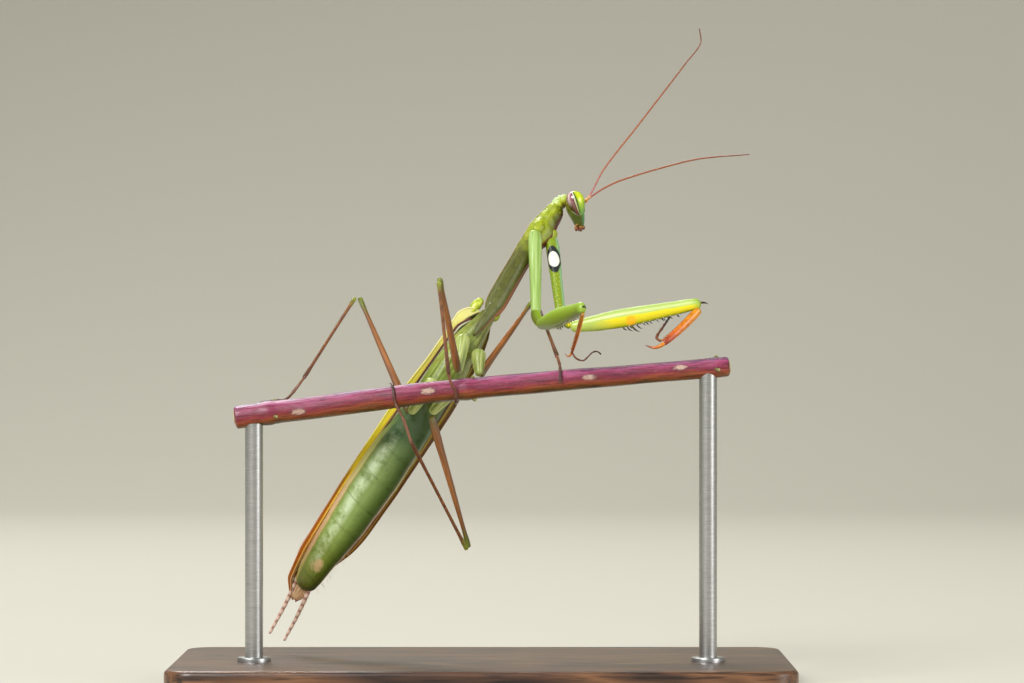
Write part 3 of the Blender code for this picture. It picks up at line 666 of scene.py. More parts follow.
def paint_pronotum(add):
    """Olive underside with a few yellow specks, yellow-green to the front, with painted shadow on its left there;
    brown-rimmed shield with a painted highlight on the right rim's front.
    """
    along, side, top = attributes(add, "along", "side", "top")
    side = add("Math MULTIPLY", side, -1.0)
    cloud = object_noise(add, 0.8, 5.0, 0.6)
    place = wander(add, along, cloud, 0.09)
    skin = add("ValToRGB", place, {
        0: "#646a30", 0.10: "#666a34", 0.22: "#5c5e1c", 0.50: "#5c5e0e", 0.59: "#7c8412", 0.67: "#a2ac14",
        0.78: "#a4b218", 0.90: "#aab820", 1: "#b8c43c"})
    mottle = add("ValToRGB", cloud, {0.34: "#b8b878", 0.50: "#f0f0d0", 0.62: "#ffffff"})
    skin = add("MixRGB MULTIPLY", 0.6, skin, mottle)
    folds = drawn_noise(add, (side, top, along), (5.0, 5.0, 7.0), 4.0, Distortion=1.2)
    fold = add("ValToRGB", folds, {0.34: "#949c48", 0.47: "#e8ecb8", 0.60: "#ffffff"})
    skin = add("MixRGB MULTIPLY", 0.5, skin, fold)
    # Painted shadow on the left side of the front part, beside and under the neck.
    painted_shadow = add("Math MULTIPLY", add("MapRange", side, -0.05, 0.5), add("MapRange", along, 0.68, 0.84, 0, 0.85))
    skin = add("MixRGB", painted_shadow, skin, "#4e520c")
    flecks = add("TexVoronoi", add("TexCoord").outputs["Object"], per(1.1))
    skin = add("MixRGB", add("ValToRGB", flecks, {0.07: "#d0d0d0", 0.14: "#000000"}), skin, "#c9b93a")
    back = add("ValToRGB", place, {0: "#7f8040", 0.6: "#8a7a38", 1: "#9aa04a"})
    skin = add("MixRGB", add("MapRange", top, 0.02, 0.10), skin, back)
    # The shield's rim is pale brown on the right, turning pinkish white towards the front as a painted highlight, and
    # dark and broader on the left.
    rim_end = add("ValToRGB", top, {0.20: "#ffffff", 0.30: "#000000"})
    rim = add("Math MULTIPLY", add("ValToRGB", top, {0: "#000000", 0.04: "#ffffff"}), rim_end)
    low_rim = add("ValToRGB", add("Math MULTIPLY_ADD", top, 0.5, 0.5), {0.10: "#000000", 0.18: "#ffffff"})
    rim_tone_with_highlight = add("ValToRGB", place, {
        0: "#b0681c", 0.35: "#b5702a", 0.55: "#b4683c", 0.66: "#d8a890", 0.8: "#ecd8cc", 1: "#dfe0c0"})
    dark_tone = add("ValToRGB", place, {0: "#a05c2a", 0.45: "#86401c", 0.62: "#6a2a16", 1: "#4a2012"})
    left_only = add("Math GREATER_THAN", side, 0.0)
    low_here = add("Math MULTIPLY", add("Math MULTIPLY", low_rim, left_only), rim_end)
    rim = add("Math MAXIMUM", rim, low_here)
    return add("MixRGB", rim, skin, add("MixRGB", left_only, rim_tone_with_highlight, dark_tone)), folds


pronotum_chitin = cuticle("Flecked olive pronotum chitin", paint_pronotum, 0.42, coat=0.12)
fit(pronotum, "pronotum", pronotum_chitin, "pronotum", "prothorax")

tongue = limb("tongue", [(-0.9, 0.75, 35.6), (0.1, 1.3, 37.0), (1.5, 2.65, 38.9)],
              [(0, (0.16, 0.12, 0.3)), (0.35, (0.50, 0.30, 0.5)), (1, (0.82, 0.52, 0.5))], DORSAL, sides=32, count=24)
mark(tongue, "along", 0.08)
fit(tongue, "pronotum_tongue", pronotum_chitin, "pronotum")


# ---------------- neck
# A short bellows of soft mint-green skin lets the head turn. It is folded into rings and runs
# from inside the shield's collar into the back of the head.

NECK_LINE = Line([(7.3, 8.5, 48.7), (8.0, 8.72, 49.35), (8.6, 8.62, 49.55), (9.1, 8.5, 49.5)])


def neck_swell(angle, share):
    return 1.0 + 0.07 * math.sin(share * 38 + math.sin(angle * 2))


neck = limb("neck", NECK_LINE, [(0, 0.74), (0.5, 0.70), (1, 0.60)], sides=24, count=30, shape=neck_swell)


def paint_neck(add):
    """Mint above, paled at the top by a painted highlight, yellow at the sides, and dark olive-brown underneath as
    painted shadow.
    """
    (top,) = attributes(add, "top")
    height = add("Math MULTIPLY_ADD", object_noise(add, 0.5, 3.0), 0.8, top)
    # The dark olive-brown bottom stop is painted shadow under the neck, and the palest mint at the top a painted
    # highlight.
    return add("ValToRGB", add("MapRange", height, -0.6, 1.4), {
        0: "#4a3a16", 0.25: "#7a7418", 0.48: "#b4bc1c", 0.70: "#b8cc58", 1: "#c9e0a0"}), None


fit(neck, "neck_bellows", cuticle("Soft neck membrane", paint_neck, 0.4, 0.16), "head", "neck")


# ---------------- head
# A flat three-cornered capsule of green chitin, broad between the eyes and narrow at the mouth.
# A low shield and the clypeus between two seams mark the face, and two grooves run up the back.

HEAD = Vector((9.5, 8.5, 48.6))
HEAD_TURN = math.radians(4)
HEAD_RINGS = 44
HEAD_SIDES = 56
HEAD_ROWS = [  # height, and how far the back, the front and each side are from the middle
    (-1.84, (-0.02, 0.74, 0.36)), (-1.6, (-0.20, 0.82, 0.50)), (-1.35, (-0.30, 0.88, 0.62)),
    (-0.8, (-0.58, 0.93, 0.90)), (-0.2, (-0.86, 0.96, 1.26)), (0.4, (-0.96, 0.98, 1.66)),
    (1.0, (-0.98, 0.93, 1.90)), (1.45, (-0.86, 0.74, 1.86)), (1.75, (-0.60, 0.45, 1.55)),
]


def head_place(x, y, z):
    """From the head's own axes (front, left, up) to the model's."""
    c, s = math.cos(HEAD_TURN), math.sin(HEAD_TURN)
    return HEAD + Vector((x * c - z * s, y, x * s + z * c))


def head_rings():
    """Level rings from the mouth up to the crown, with the face's plates raised on the front."""
    low, high = HEAD_ROWS[0][0], HEAD_ROWS[-1][0]
    keys = with_vectors(HEAD_ROWS)
    shares = [i / (HEAD_RINGS - 1) for i in range(HEAD_RINGS)]
    rings = []
    for share in shares:
        height = low + (high - low) * share
        back, front, half = between(keys, height)
        closing = min(1.0, ((high - height) / 0.16 + 0.25) ** 0.5, ((height - low) / 0.10 + 0.35) ** 0.5)
        middle, depth = (front + back) / 2, (front - back) / 2
        ring = []
        for _, c, s in round_ring(HEAD_SIDES):
            y = half * closing * math.copysign(abs(s) ** 0.9, s)
            x = middle + depth * closing * math.copysign(abs(c) ** 0.75, c)
            if c > 0:
                shield = 0.05 if abs(y) < 0.55 - 0.25 * abs(height - 0.25) and -0.3 < height < 0.75 else 0.0
                suture = -0.05 * hump(height, -0.42, 0.05) - 0.04 * hump(height, -1.25, 0.05)
                x += (shield + suture) * min(1.0, c * 2)
            elif height > 0.2:
                x += 0.06 * hump(abs(y), 0.75, 0.10)
            ring.append((head_place(x, y, height), s, c))
        rings.append(ring)
    return rings, shares


head = smooth_object(pull("head", *head_rings()), 1)


def paint_head(add):
    """Blue-green face, yellow-green brow, olive cheeks darkening to the back of the jaw."""
    up, front = attributes(add, "along", "top")
    cloud = object_noise(add, 0.45, 3.0)
    place = wander(add, up, cloud, 0.08)
    face = add("ValToRGB", place, {
        0: "#8d6a1c", 0.08: "#4f8a5c", 0.28: "#4c9058", 0.45: "#6aa534", 0.7: "#a5c42c", 1: "#b9cf5a"})
    cheek = add("ValToRGB", place, {0: "#55580c", 0.22: "#4f5c0c", 0.42: "#64700e", 0.62: "#8a8c10", 1: "#b0b43a"})
    skin = add("MixRGB", add("MapRange", front, 0.45, 0.75), cheek, face)
    mottle = add("ValToRGB", cloud, {0.36: "#94905a", 0.48: "#e2e6b4", 0.60: "#ffffff"})
    return add("MixRGB MULTIPLY", 0.75, skin, mottle), cloud


head_chitin = cuticle("Green head chitin", paint_head, 0.36, 0.09, coat=0.15)
fit(head, "head_capsule", head_chitin, "head", "head")

# Three bead-like ocelli sit between the feelers, larger in a male.
lens, add = new_material("Ocellus lens")
surface(lens, "#c9b86a", roughness=0.08, Coat_Weight=1.0, Subsurface_Weight=0.3,
        Subsurface_Radius=(0.0003, 0.0002, 0.0001))
for tag, place, radius in (("middle", (0.93, 0.0, 1.02), 0.13), ("right", (0.80, -0.24, 1.30), 0.15),
                           ("left", (0.80, 0.24, 1.30), 0.15)):
    bead = start(bpy.ops.mesh.primitive_uv_sphere_add, segments=24, ring_count=14, radius=radius * MM,
                 location=head_place(*place) * MM)
    bpy.ops.object.transform_apply()
    fit(smooth_object(bead, angle=80), "ocellus_" + tag, lens, "eye")


# ---------------- compound eyes
# Each eye is an egg of some thousands of six-sided lenses, broad above and pointed below. It
# bulges from the head's corner, and its pigment lies in bands from pole to pole.

EYE_SIZE = (0.86, 0.98, 0.85, 1.31)  # behind, in front, outwards, up
EYE_TILT = math.radians(15)
EYE_SPREAD = 1.98
EYE_LENS = 0.045

# Pigment under clear lenses: lime at the front, then a dark and a cream line, mauve and brown.
# The upper half is painted lighter, with painted highlights, and the lower half darker with painted shade.
eye_glass, add = new_material("Banded compound eye")
band, rise = attributes(add, "side", "top")
place = wander(add, band, object_noise(add, 0.35, 2.0), 0.008)
share = add("MapRange", place, -1.0, 1.0)
# Upper half: the whitish pink near 0.17 is a painted highlight, and every band is painted lighter than below.
upper = add("ValToRGB", share, {
    0: "#6a5a1c", 0.05: "#8a5a3c", 0.10: "#c89a94", 0.17: "#f4e6e0", 0.24: "#d8a8b4", 0.30: "#a86478",
    0.42: "#7c4c54", 0.455: "#44282a", 0.48: "#efe8cc", 0.53: "#f2ecd0", 0.555: "#2f4a16", 0.61: "#4f6e10",
    0.66: "#b6cc0c", 0.80: "#d4e014", 0.95: "#c0d81c", 1: "#a8cc34"})
# Lower half: the same bands, darker with painted shade.
lower = add("ValToRGB", share, {
    0: "#56550f", 0.15: "#4a3210", 0.25: "#5c3c24", 0.34: "#7c4a4c", 0.41: "#5a2c28", 0.45: "#2c1410",
    0.485: "#c9c088", 0.52: "#b0ac5c", 0.54: "#2f5216", 0.66: "#4f8a14", 0.80: "#74b41c", 1: "#3f8a3a"})
# Mixes the painted lit upper half and the painted shaded lower half by height on the eye.
height = add("MixRGB", add("Math GREATER_THAN", share, 0.545),
             add("MapRange", rise, -0.2, 0.9), add("MapRange", rise, -0.75, 0.25))
pigment = add("MixRGB", height, lower, upper)
facets = add("TexVoronoi", add("TexCoord").outputs["Object"], per(EYE_LENS), Randomness=0.35)
surface(eye_glass, pigment, facets, 0.004, 0.16, Coat_Weight=0.8,
        Coat_Roughness=0.06, Subsurface_Weight=0.2, Subsurface_Radius=(0.0003, 0.0003, 0.0001), IOR=1.5)

for tag, sign in (("right", -1), ("left", 1)):
    eye = start(bpy.ops.mesh.primitive_uv_sphere_add, segments=64, ring_count=40, radius=1.0)
    layers = [eye.data.attributes.new(key, "FLOAT", "POINT") for key in ("side", "top")]
    c, s = math.cos(EYE_TILT), math.sin(EYE_TILT)
    for i, vertex in enumerate(eye.data.vertices):
        x, y, z = vertex.co
        level = max(math.hypot(x, y), 1e-6)
        layers[0].data[i].value = x / level
        layers[1].data[i].value = z
        taper = 1.0 + 0.24 * z - 0.05 * z * z
        x, y, z = x * EYE_SIZE[x > 0] * taper, y * EYE_SIZE[2] * taper, z * EYE_SIZE[3]
        vertex.co = head_place(0.07 + x * c - z * s, sign * EYE_SPREAD + y, 0.55 + x * s + z * c) * MM
    fit(smooth_object(eye, angle=80), "compound_eye_" + tag, eye_glass, "eye", "eye_" + tag)


# ---------------- antennae
# Each feeler is a stout orange scape in a socket on the brow, a cream pedicel, and a thread of
# about eighty short red-brown joints that thins to the tip.

ANTENNAE = {
    "right": [(10.35, 8.1, 49.3), (10.62, 8.0, 49.5), (11.0, 7.8, 49.8), (12.4, 6.9, 50.7), (14.2, 5.5, 51.5),
              (18.5, 2.0, 52.7), (22.0, -1.3, 53.4), (26.6, -6.0, 53.6)],
    "left": [(10.35, 8.9, 49.3), (10.62, 9.0, 49.6), (11.0, 9.1, 50.0), (12.5, 9.5, 52.8), (16.3, 10.5, 57.7),
             (21.2, 12.1, 64.1), (22.6, 12.5, 66.0), (22.5, 12.7, 67.6)],
}
ANTENNA_JOINTS = 84


def antenna_swell(angle, share):
    if share < 0.045:
        return 1.0
    return 1.0 + 0.06 * math.cos(share * ANTENNA_JOINTS * 2 * math.pi)


def paint_antenna(add):
    """Orange and cream at the base, then pink-brown, then red-brown, a little darker at each joint."""
    (along,) = attributes(add, "along")
    tone = add("ValToRGB", along, {
        0: "#c4841a", 0.020: "#c4841a", 0.026: "#d9a866", 0.042: "#cf9a74", 0.052: "#b0646a",
        0.14: "#a55a3c", 0.35: "#9c5426", 0.7: "#8f4a20", 1: "#6c341a"})
    joint = add("Math FRACT", add("Math MULTIPLY", along, float(ANTENNA_JOINTS)))
    ring = add("ValToRGB", joint, {0: "#ffffff", 0.35: "#ffffff", 0.5: "#b08a7a", 0.65: "#ffffff"})
    return add("MixRGB MULTIPLY", 0.7, tone, ring), None


antenna_chitin = cuticle("Red-brown feeler chitin", paint_antenna, 0.38, 0.06)
for tag, points in ANTENNAE.items():
    feeler = limb("antenna", points, [(0, 0.17), (0.018, 0.18), (0.024, 0.13), (0.030, 0.145), (0.040, 0.14),
                                      (0.048, 0.10), (0.3, 0.098), (0.7, 0.088), (1, 0.06)],
                  sides=10, count=ANTENNA_JOINTS * 4 + 1, levels=0, shape=antenna_swell)
    fit(feeler, "antenna_thread_" + tag, antenna_chitin, "antenna", "antenna_" + tag)


# ---------------- mouthparts
# Below the face hang the upper lip, two dark-tipped jaws, and the jointed palps of jaw and
# lower lip, all amber-brown and hinged inside the head.

PALP_JOINTS = 4


def palp_swell(angle, share):
    return 0.92 + 0.14 * abs(math.sin(math.pi * PALP_JOINTS * share))


def paint_mouth(add):
    """Amber, clouded with brown, darker at every tip."""
    place = add("Math MULTIPLY_ADD", object_noise(add, 0.3, 3.0), 0.5, *attributes(add, "along"))
    return add("ValToRGB", place, {0.2: "#7c6c1c", 0.5: "#a06c18", 0.8: "#8c4c28", 1.1: "#5c2c1c"}), None


mouth_chitin = cuticle("Amber mouthpart chitin", paint_mouth, 0.3, 0.06, coat=0.4)
MOUTH_PIECES = (  # name, sides, points in the head's axes, radius at the root and tip
    ("upper_lip", (1,), [(0.62, 0, -1.70), (0.66, 0, -1.95), (0.60, 0, -2.14)], (0.34, 0.20)),
    ("jaw", (-1, 1), [(0.38, 0.26, -1.65), (0.42, 0.24, -1.95), (0.46, 0.10, -2.20)], (0.24, 0.10)),
    ("lower_lip", (1,), [(0.06, 0, -1.58), (0.08, 0, -1.90), (0.16, 0, -2.20)], (0.32, 0.20)),
    ("jaw_palp", (-1, 1), [(0.20, 0.42, -1.50), (-0.10, 0.60, -1.75), (0.22, 0.62, -2.16), (0.60, 0.46, -2.24)],
     (0.095, 0.07)),
    ("lip_palp", (-1, 1), [(0.0, 0.16, -1.75), (-0.14, 0.30, -2.0), (0.0, 0.34, -2.26)], (0.085, 0.06)),
)
parts = []
for tag, signs, points, (root, tip) in MOUTH_PIECES:
    for sign in signs:
        parts.append(limb(tag, [head_place(x, sign * y, z) for x, y, z in points],
                          [(0, root), (0.5, (root + tip) / 2), (1, tip)], FRONT, sides=12, count=14,
                          shape=palp_swell if "palp" in tag else None))
fit(join(parts), "mouth", mouth_chitin, "mouthparts", "mouthparts")


# ---------------- wings
# Two pairs fold flat over the back, the left forewing uppermost. A forewing is leathery green
# with a stiff yellow front edge; a hindwing is clear film on brown veins, and folds like a fan.

WING_LINE = Line([p for _, p in TRUNK_LINE.keys] + [(-19.6, 6.1, 7.9)])
WING_CROWN = [(0.0, 1.25), (0.12, 1.75), (0.55, 1.75), (0.8, 1.5), (1.0, 0.95)]
# share: reach of the crease beside the belly, and of the front edge outside it
WING_REACH = {
    "right": [(0.0, (1.1, 2.3)), (0.03, (1.3, 2.60)), (0.065, (1.38, 2.47)), (0.10, (1.38, 2.30)),
              (0.14, (1.38, 2.17)), (0.21, (1.45, 2.20)), (0.28, (1.52, 2.48)), (0.37, (1.64, 2.66)),
              (0.46, (1.92, 2.69)), (0.54, (2.08, 2.73)), (0.61, (2.12, 2.67)), (0.67, (2.10, 2.58)),
              (0.74, (2.02, 2.55)), (0.80, (1.96, 2.50)), (0.84, (1.92, 2.47)), (0.87, (1.80, 2.32)),
              (0.90, (1.68, 2.15)), (0.93, (1.50, 1.98)), (0.96, (1.15, 1.62)), (1.0, (0.5, 0.85))],
    "left": [(0.0, (0.6, 0.9)), (0.06, (1.2, 1.6)), (0.11, (1.70, 2.22)), (0.18, (2.0, 2.62)),
             (0.25, (2.10, 2.84)), (0.31, (2.10, 2.90)), (0.38, (2.14, 2.86)), (0.46, (2.24, 2.80)),
             (0.54, (2.32, 2.76)), (0.62, (2.34, 2.75)), (0.68, (2.26, 2.70)), (0.74, (2.08, 2.56)),
             (0.79, (1.75, 2.18)), (0.83, (1.30, 1.62)), (0.88, (0.8, 1.0)), (1.0, (0.3, 0.5))],
}
FILM = 0.07
RIM = 0.085
WING_ROUND = 0.05  # share of a wing's length that is rounded off at each end
CREASE = 0.74  # where the stiff front band begins, as a share of the width
VEIN_RISE = 0.04
VEIN_WIDTH = 0.014
VEIN_PLACES = (0.62, 0.50, 0.36, 0.2)  # shares of the width
BAND_TONES = (  # the front band inwards and outwards, of the right wing and of the left
    ({0: "#efe9a0", 0.12: "#f2ea74", 0.36: "#fbe92c", 0.62: "#f8dc30", 0.74: "#f4c030", 0.84: "#e8a028",
      1: "#d88830"},
     {0: "#f0eb9c", 0.12: "#f5ee86", 0.36: "#fbec3c", 0.55: "#f4dc34", 0.62: "#c08430", 0.74: "#d88834",
      0.86: "#d87c1c", 1: "#d08c4a"}),
    ({0: "#a89a3c", 0.30: "#b9a020", 0.60: "#c9a81c", 0.72: "#d0aa22", 0.82: "#b5801c"},
     {0: "#7c6a24", 0.30: "#7a4e14", 0.55: "#8a5416", 0.72: "#b07a1c", 0.80: "#c08a20", 0.9: "#8a5a1c"}),
)


def wing(tag, sign, lift, span, overlap, narrow=1.0, brink=0.45):
    """One folded wing: arched from past the midline to a crease, then a flat band to its front edge."""
    keys = with_vectors(WING_REACH[tag])
    sheet = start(bpy.ops.mesh.primitive_grid_add, x_subdivisions=38, y_subdivisions=90, size=1)
    layers = {key: sheet.data.attributes.new(key, "FLOAT", "POINT") for key in ("along", "across")}
    edge = []
    for i, vertex in enumerate(sheet.data.vertices):
        across, along = vertex.co.x + 0.5, vertex.co.y + 0.5
        layers["across"].data[i].value = across
        share = span[0] + (span[1] - span[0]) * along
        layers["along"].data[i].value = share
        rounding = (min((1.0 - along) / WING_ROUND, 1.0) * min((along + 0.008) / WING_ROUND, 1.0)) ** 0.5
        crease, outer = between(keys, share) * (0.25 + 0.75 * rounding)
        outer = crease + (outer - crease) * narrow
        centre, _, side, top = WING_LINE.frame(share, DORSAL)
        crown = between(WING_CROWN, share) + lift
        low = min(brink, crown * 0.4)
        if across < CREASE:
            reach = -overlap * rounding + (crease + overlap * rounding) * across / CREASE
            height = low + (crown - low) * (1 - min(abs(reach) / crease, 1) ** 2.5)
            height += VEIN_RISE * sum(hump(across, place, VEIN_WIDTH) for place in VEIN_PLACES)
        else:
            onward = (across - CREASE) / (1 - CREASE)
            reach = crease + (outer - crease) * onward
            height = low + 0.03 * math.sin(onward * math.pi) - 0.12 * onward
        vertex.co = (centre + side * sign * reach + top * height) * MM
        if across > 0.999:
            edge.append(vertex.co / MM)
    bpy.ops.object.mode_set(mode="EDIT")
    face_outwards()
    film = sheet.modifiers.new("film", "SOLIDIFY")
    film.thickness = FILM * MM
    film.offset = 0.0
    bpy.ops.object.modifier_apply(modifier=film.name)
    smooth_object(sheet, angle=60)
    rim = limb("rim", edge, [(0, RIM * 0.8), (0.3, RIM), (0.8, RIM * 0.9), (1, RIM * 0.5)], DORSAL,
               sides=8, count=90, levels=0)
    mark(rim, "across", 1.0)
    mark(rim, "along", lambda share: span[0] + (span[1] - span[0]) * share)
    mark(join([sheet, rim]), "right", float(sign < 0))
    return sheet


def veins(add, along, across, lengthwise, crosswise, width):
    """A net of veins, in long cells that follow the inner part of the wing."""
    place = add("Mapping", add("CombineXYZ", across, along), Scale=(crosswise, lengthwise, 1.0))
    net = add("TexVoronoi DISTANCE_TO_EDGE", place, 1.0, Randomness=0.7)
    vein = add("ValToRGB", net, {0: "#ffffff", width: "#000000"})
    return add("Math MULTIPLY", add("Math MULTIPLY", vein, add("Math LESS_THAN", across, CREASE)), 0.6)


def paint_forewing(add):
    """Green with a yellow front band that turns orange-brown, a brown crease and paler veins."""
    along, across, right = attributes(add, "along", "across", "right")
    place = wander(add, along, object_noise(add, 1.5, 4.0), 0.06)
    field = add("ValToRGB", place, {0: "#86a548", 0.45: "#7f9c4a", 0.75: "#8f8748", 1: "#a5804e"})
    outermost = add("MapRange", across, 0.88, 0.91)
    right_band, left_band = (add("MixRGB", outermost, *(add("ValToRGB", place, ramp) for ramp in pair))
                             for pair in BAND_TONES)
    band = add("MixRGB", right, left_band, right_band)
    skin = add("MixRGB", add("MapRange", across, CREASE - 0.01, CREASE + 0.02), field, band)
    inner_line = add("ValToRGB", across, {
        CREASE - 0.03: "#000000", CREASE: "#c0c0c0", CREASE + 0.015: "#c0c0c0", CREASE + 0.035: "#000000"})
    line_tone = add("ValToRGB", place, {0.30: "#a8785c", 0.48: "#b89a40", 0.62: "#dcb840", 0.85: "#d89430"})
    skin = add("MixRGB", inner_line, skin, add("MixRGB", right, "#c9b850", line_tone))
    edge_tone = add("ValToRGB", place, {
        0: "#f0eaae", 0.46: "#e8d84c", 0.56: "#b8903c", 0.64: "#a0682c", 0.78: "#c8784c", 1: "#b06a2c"})
    edge_tone = add("MixRGB", right, "#6f4a16", edge_tone)
    skin = add("MixRGB", add("MapRange", across, 0.96, 0.99, 0, 0.7), skin, edge_tone)
    vein = veins(add, along, across, 90.0, 30.0, 0.07)
    return add("MixRGB", vein, skin, "#b9c67c"), vein


def paint_hindwing(add):
    """Smoky film, with a front edge beside a white line: purple-brown, then ochre on the right."""
    along, across, right = attributes(add, "along", "across", "right")
    tone = add("ValToRGB", across, {
        0: "#b9ad8a", 0.60: "#b3a47c", CREASE - 0.02: "#d8cfae", CREASE + 0.03: "#f2efe2", 0.84: "#f2efe2",
        0.89: "#7c4a44", 1: "#6a3a38"})
    warm = add("Math MULTIPLY", add("MapRange", along, 0.32, 0.50), right)
    warm = add("Math MULTIPLY", warm, add("MapRange", across, CREASE - 0.16, CREASE - 0.04))
    ochre = add("ValToRGB", along, {0.42: "#b89448", 0.60: "#f0cc48", 0.80: "#f0b850", 0.92: "#d0a068", 1: "#b9906c"})
    tone = add("MixRGB", warm, tone, ochre)
    return add("MixRGB", veins(add, along, across, 50.0, 14.0, 0.08), tone, "#7a5a3c"), None


forewing_film = cuticle("Leathery forewing", paint_forewing, 0.36, 0.08, coat=0.15)
hindwing_film = cuticle("Hindwing film", paint_hindwing, 0.22, 0.08, coat=0.4)
for tag, sign, lap in (("right", -1, 0.15), ("left", 1, 0.45)):
    hind = wing(tag, sign, 0.22 + lap / 2, (0.05, 0.985), lap, narrow=0.36 if sign < 0 else 0.15, brink=0.28)
    fit(hind, "hindwing_film_" + tag, hindwing_film, "hindwing", "hindwing_" + tag)
    fore = wing(tag, sign, 0.62 + lap, (0.02, 0.985), lap)
    fit(fore, "forewing_" + tag, forewing_film, "tegmen", "tegmen_" + tag)

# A sliver of the right hindwing's film has slipped out past the forewing's front edge.
SLIVER_HEIGHT = 0.42
keys = with_vectors(WING_REACH["right"])
slipped = []
for share, past in ((0.770, -0.06), (0.800, 0.03), (0.830, 0.09), (0.860, 0.05), (0.885, -0.06)):
    centre, _, side, top = WING_LINE.frame(share, DORSAL)
    slipped.append(centre - side * (between(keys, share).y + past) + top * SLIVER_HEIGHT)
sliver = limb("sliver", slipped, [(0, (0.05, 0.02, 0.02)), (0.5, (0.16, 0.025, 0.025)), (1, (0.05, 0.02, 0.02))],
              DORSAL, sides=12, count=24)
mark(sliver, "across", CREASE + 0.06)
mark(sliver, "right", 0.0)
fit(sliver, "hindwing_sliver_right", hindwing_film, "hindwing")


# ---------------- cerci
# Two tapering tail feelers of ten beads each, pale pink with darker joints. Fine pale hairs
# stand out from all but the first two beads.

CERCI = {"right": [(-18.5, 5.55, 11.7), (-20.3, 6.5, 7.95), (-21.9, 7.1, 5.0)],
         "left": [(-17.3, 5.3, 10.6), (-18.95, 6.2, 7.0), (-20.4, 6.7, 4.3)]}
BEADS = 10
HAIR_LENGTH = 0.55
HAIR_RADIUS = 0.013
HAIRS_PER_BEAD = 9
FRINGE_HAIRS = 60
PATCH = 0.003  # how wide a strand is on its unwrap


def bead_swell(angle, share):
    return 0.80 + 0.24 * abs(math.sin(math.pi * BEADS * share)) ** 0.6


def paint_cercus(add):
    """Pale pink beads with a brown ring at each joint."""
    (along,) = attributes(add, "along")
    return add("ValToRGB", add("Math FRACT", add("Math MULTIPLY", along, float(BEADS))), {
        0: "#8a5f50", 0.16: "#c9a08c", 0.5: "#e6cdb8", 0.84: "#c9a08c", 1: "#8a5f50"}), None


cercus_chitin = cuticle("Pale beaded cercus chitin", paint_cercus, 0.4, 0.07)
dice = random.Random(7)
hair_look, add = new_material("Fine sensory hair")
surface(hair_look, "#d9cbb4", roughness=0.45, Subsurface_Weight=0.2, Subsurface_Radius=(0.0002, 0.0002, 0.0001))


def one_hair():
    """A straight three-sided hair, one millimetre long."""
    strand = start(bpy.ops.mesh.primitive_cone_add, vertices=3, radius1=HAIR_RADIUS * MM,
                   radius2=HAIR_RADIUS * 0.2 * MM, depth=MM, end_fill_type="TRIFAN", location=(0, 0, MM / 2))
    bpy.ops.object.transform_apply()
    smooth_object(strand)
    strand.data.uv_layers[0].name = "OFBake"
    for item, loop in zip(strand.data.uv_layers[0].data, strand.data.loops):
        place = strand.data.vertices[loop.vertex_index].co / MM
        item.uv = ((place.x / HAIR_RADIUS + 1) * PATCH / 2, place.z * PATCH)
    return strand


def unwrap_at(strand, share, turn):
    """Moves a strand's patch to its root's place: share of the line along, share of a turn up."""
    for item in strand.data.uv_layers["OFBake"].data:
        item.uv += Vector((share, turn)) * (1 - PATCH)
    return strand


def copy_of(model, root, direction, bend, length, slim=1.0):
    """A copy of a millimetre-long spine or hair, with its own mesh, scaled and stood at its root."""
    along = direction.normalized()
    across = square_to(bend, along)
    turn = Matrix((across, along.cross(across), along)).transposed().to_4x4()
    piece = model.copy()
    piece.data = model.data.copy()
    bpy.context.collection.objects.link(piece)
    scale = Matrix.Diagonal((length * slim, length * slim, length, 1))
    piece.data.transform(Matrix.Translation(root * MM) @ turn @ scale)
    return piece


hair = one_hair()
for tag, points in CERCI.items():
    line = Line(points)
    cercus = limb("cercus", line, [(0, 0.27), (0.4, 0.24), (1, 0.14)], sides=14, count=BEADS * 8 + 1, shape=bead_swell)
    fit(cercus, "cercus_beads_" + tag, cercus_chitin, "cercus", "cercus_" + tag)
    strands = []
    for bead in range(2, BEADS):
        for n in range(HAIRS_PER_BEAD):
            share = (bead + dice.uniform(0.3, 0.7)) / BEADS
            along = line.along(share)
            turn = 2 * math.pi * (n + dice.random()) / HAIRS_PER_BEAD
            aside = along.orthogonal().normalized()
            out = aside * math.cos(turn) + along.cross(aside) * math.sin(turn)
            lean = out + along * dice.uniform(0.5, 1.1)
            strand = copy_of(hair, line.at(share) + out * 0.17, lean, along, HAIR_LENGTH * dice.uniform(0.6, 1.0))
            strands.append(unwrap_at(strand, share, turn / (2 * math.pi)))
    fit(join(strands), "cercus_hairs_" + tag, hair_look, "cercus")

# A fringe of the same hairs stands along both sides of the belly's last plates.
half_widths = [(share, size[0]) for share, size in TRUNK_SIZES]
fringe = []
for side_sign in (-1, 1):
    for n in range(FRINGE_HAIRS):
        share = dice.uniform(0.83, 0.99)
        centre, along, side, _ = TRUNK_LINE.frame(share, DORSAL)
        side *= side_sign
        root = centre + side * between(half_widths, share) * 0.93 - DORSAL * dice.uniform(-0.1, 0.3)
        strand = copy_of(hair, root, side + along * dice.uniform(0.2, 1.2) - DORSAL * dice.uniform(-0.5, 0.4), along,
                         dice.uniform(0.35, 0.75))
        fringe.append(unwrap_at(strand, share, 0.5 + 0.25 * side_sign))
fit(join(fringe), "belly_fringe", hair_look, "trunk")
bpy.data.objects.remove(hair)


# ---------------- walking legs
# Four slender ridged legs of reddish-brown chitin, green at hip and knee. Each foot has five
# short joints and two hooked claws, which hold the stem.

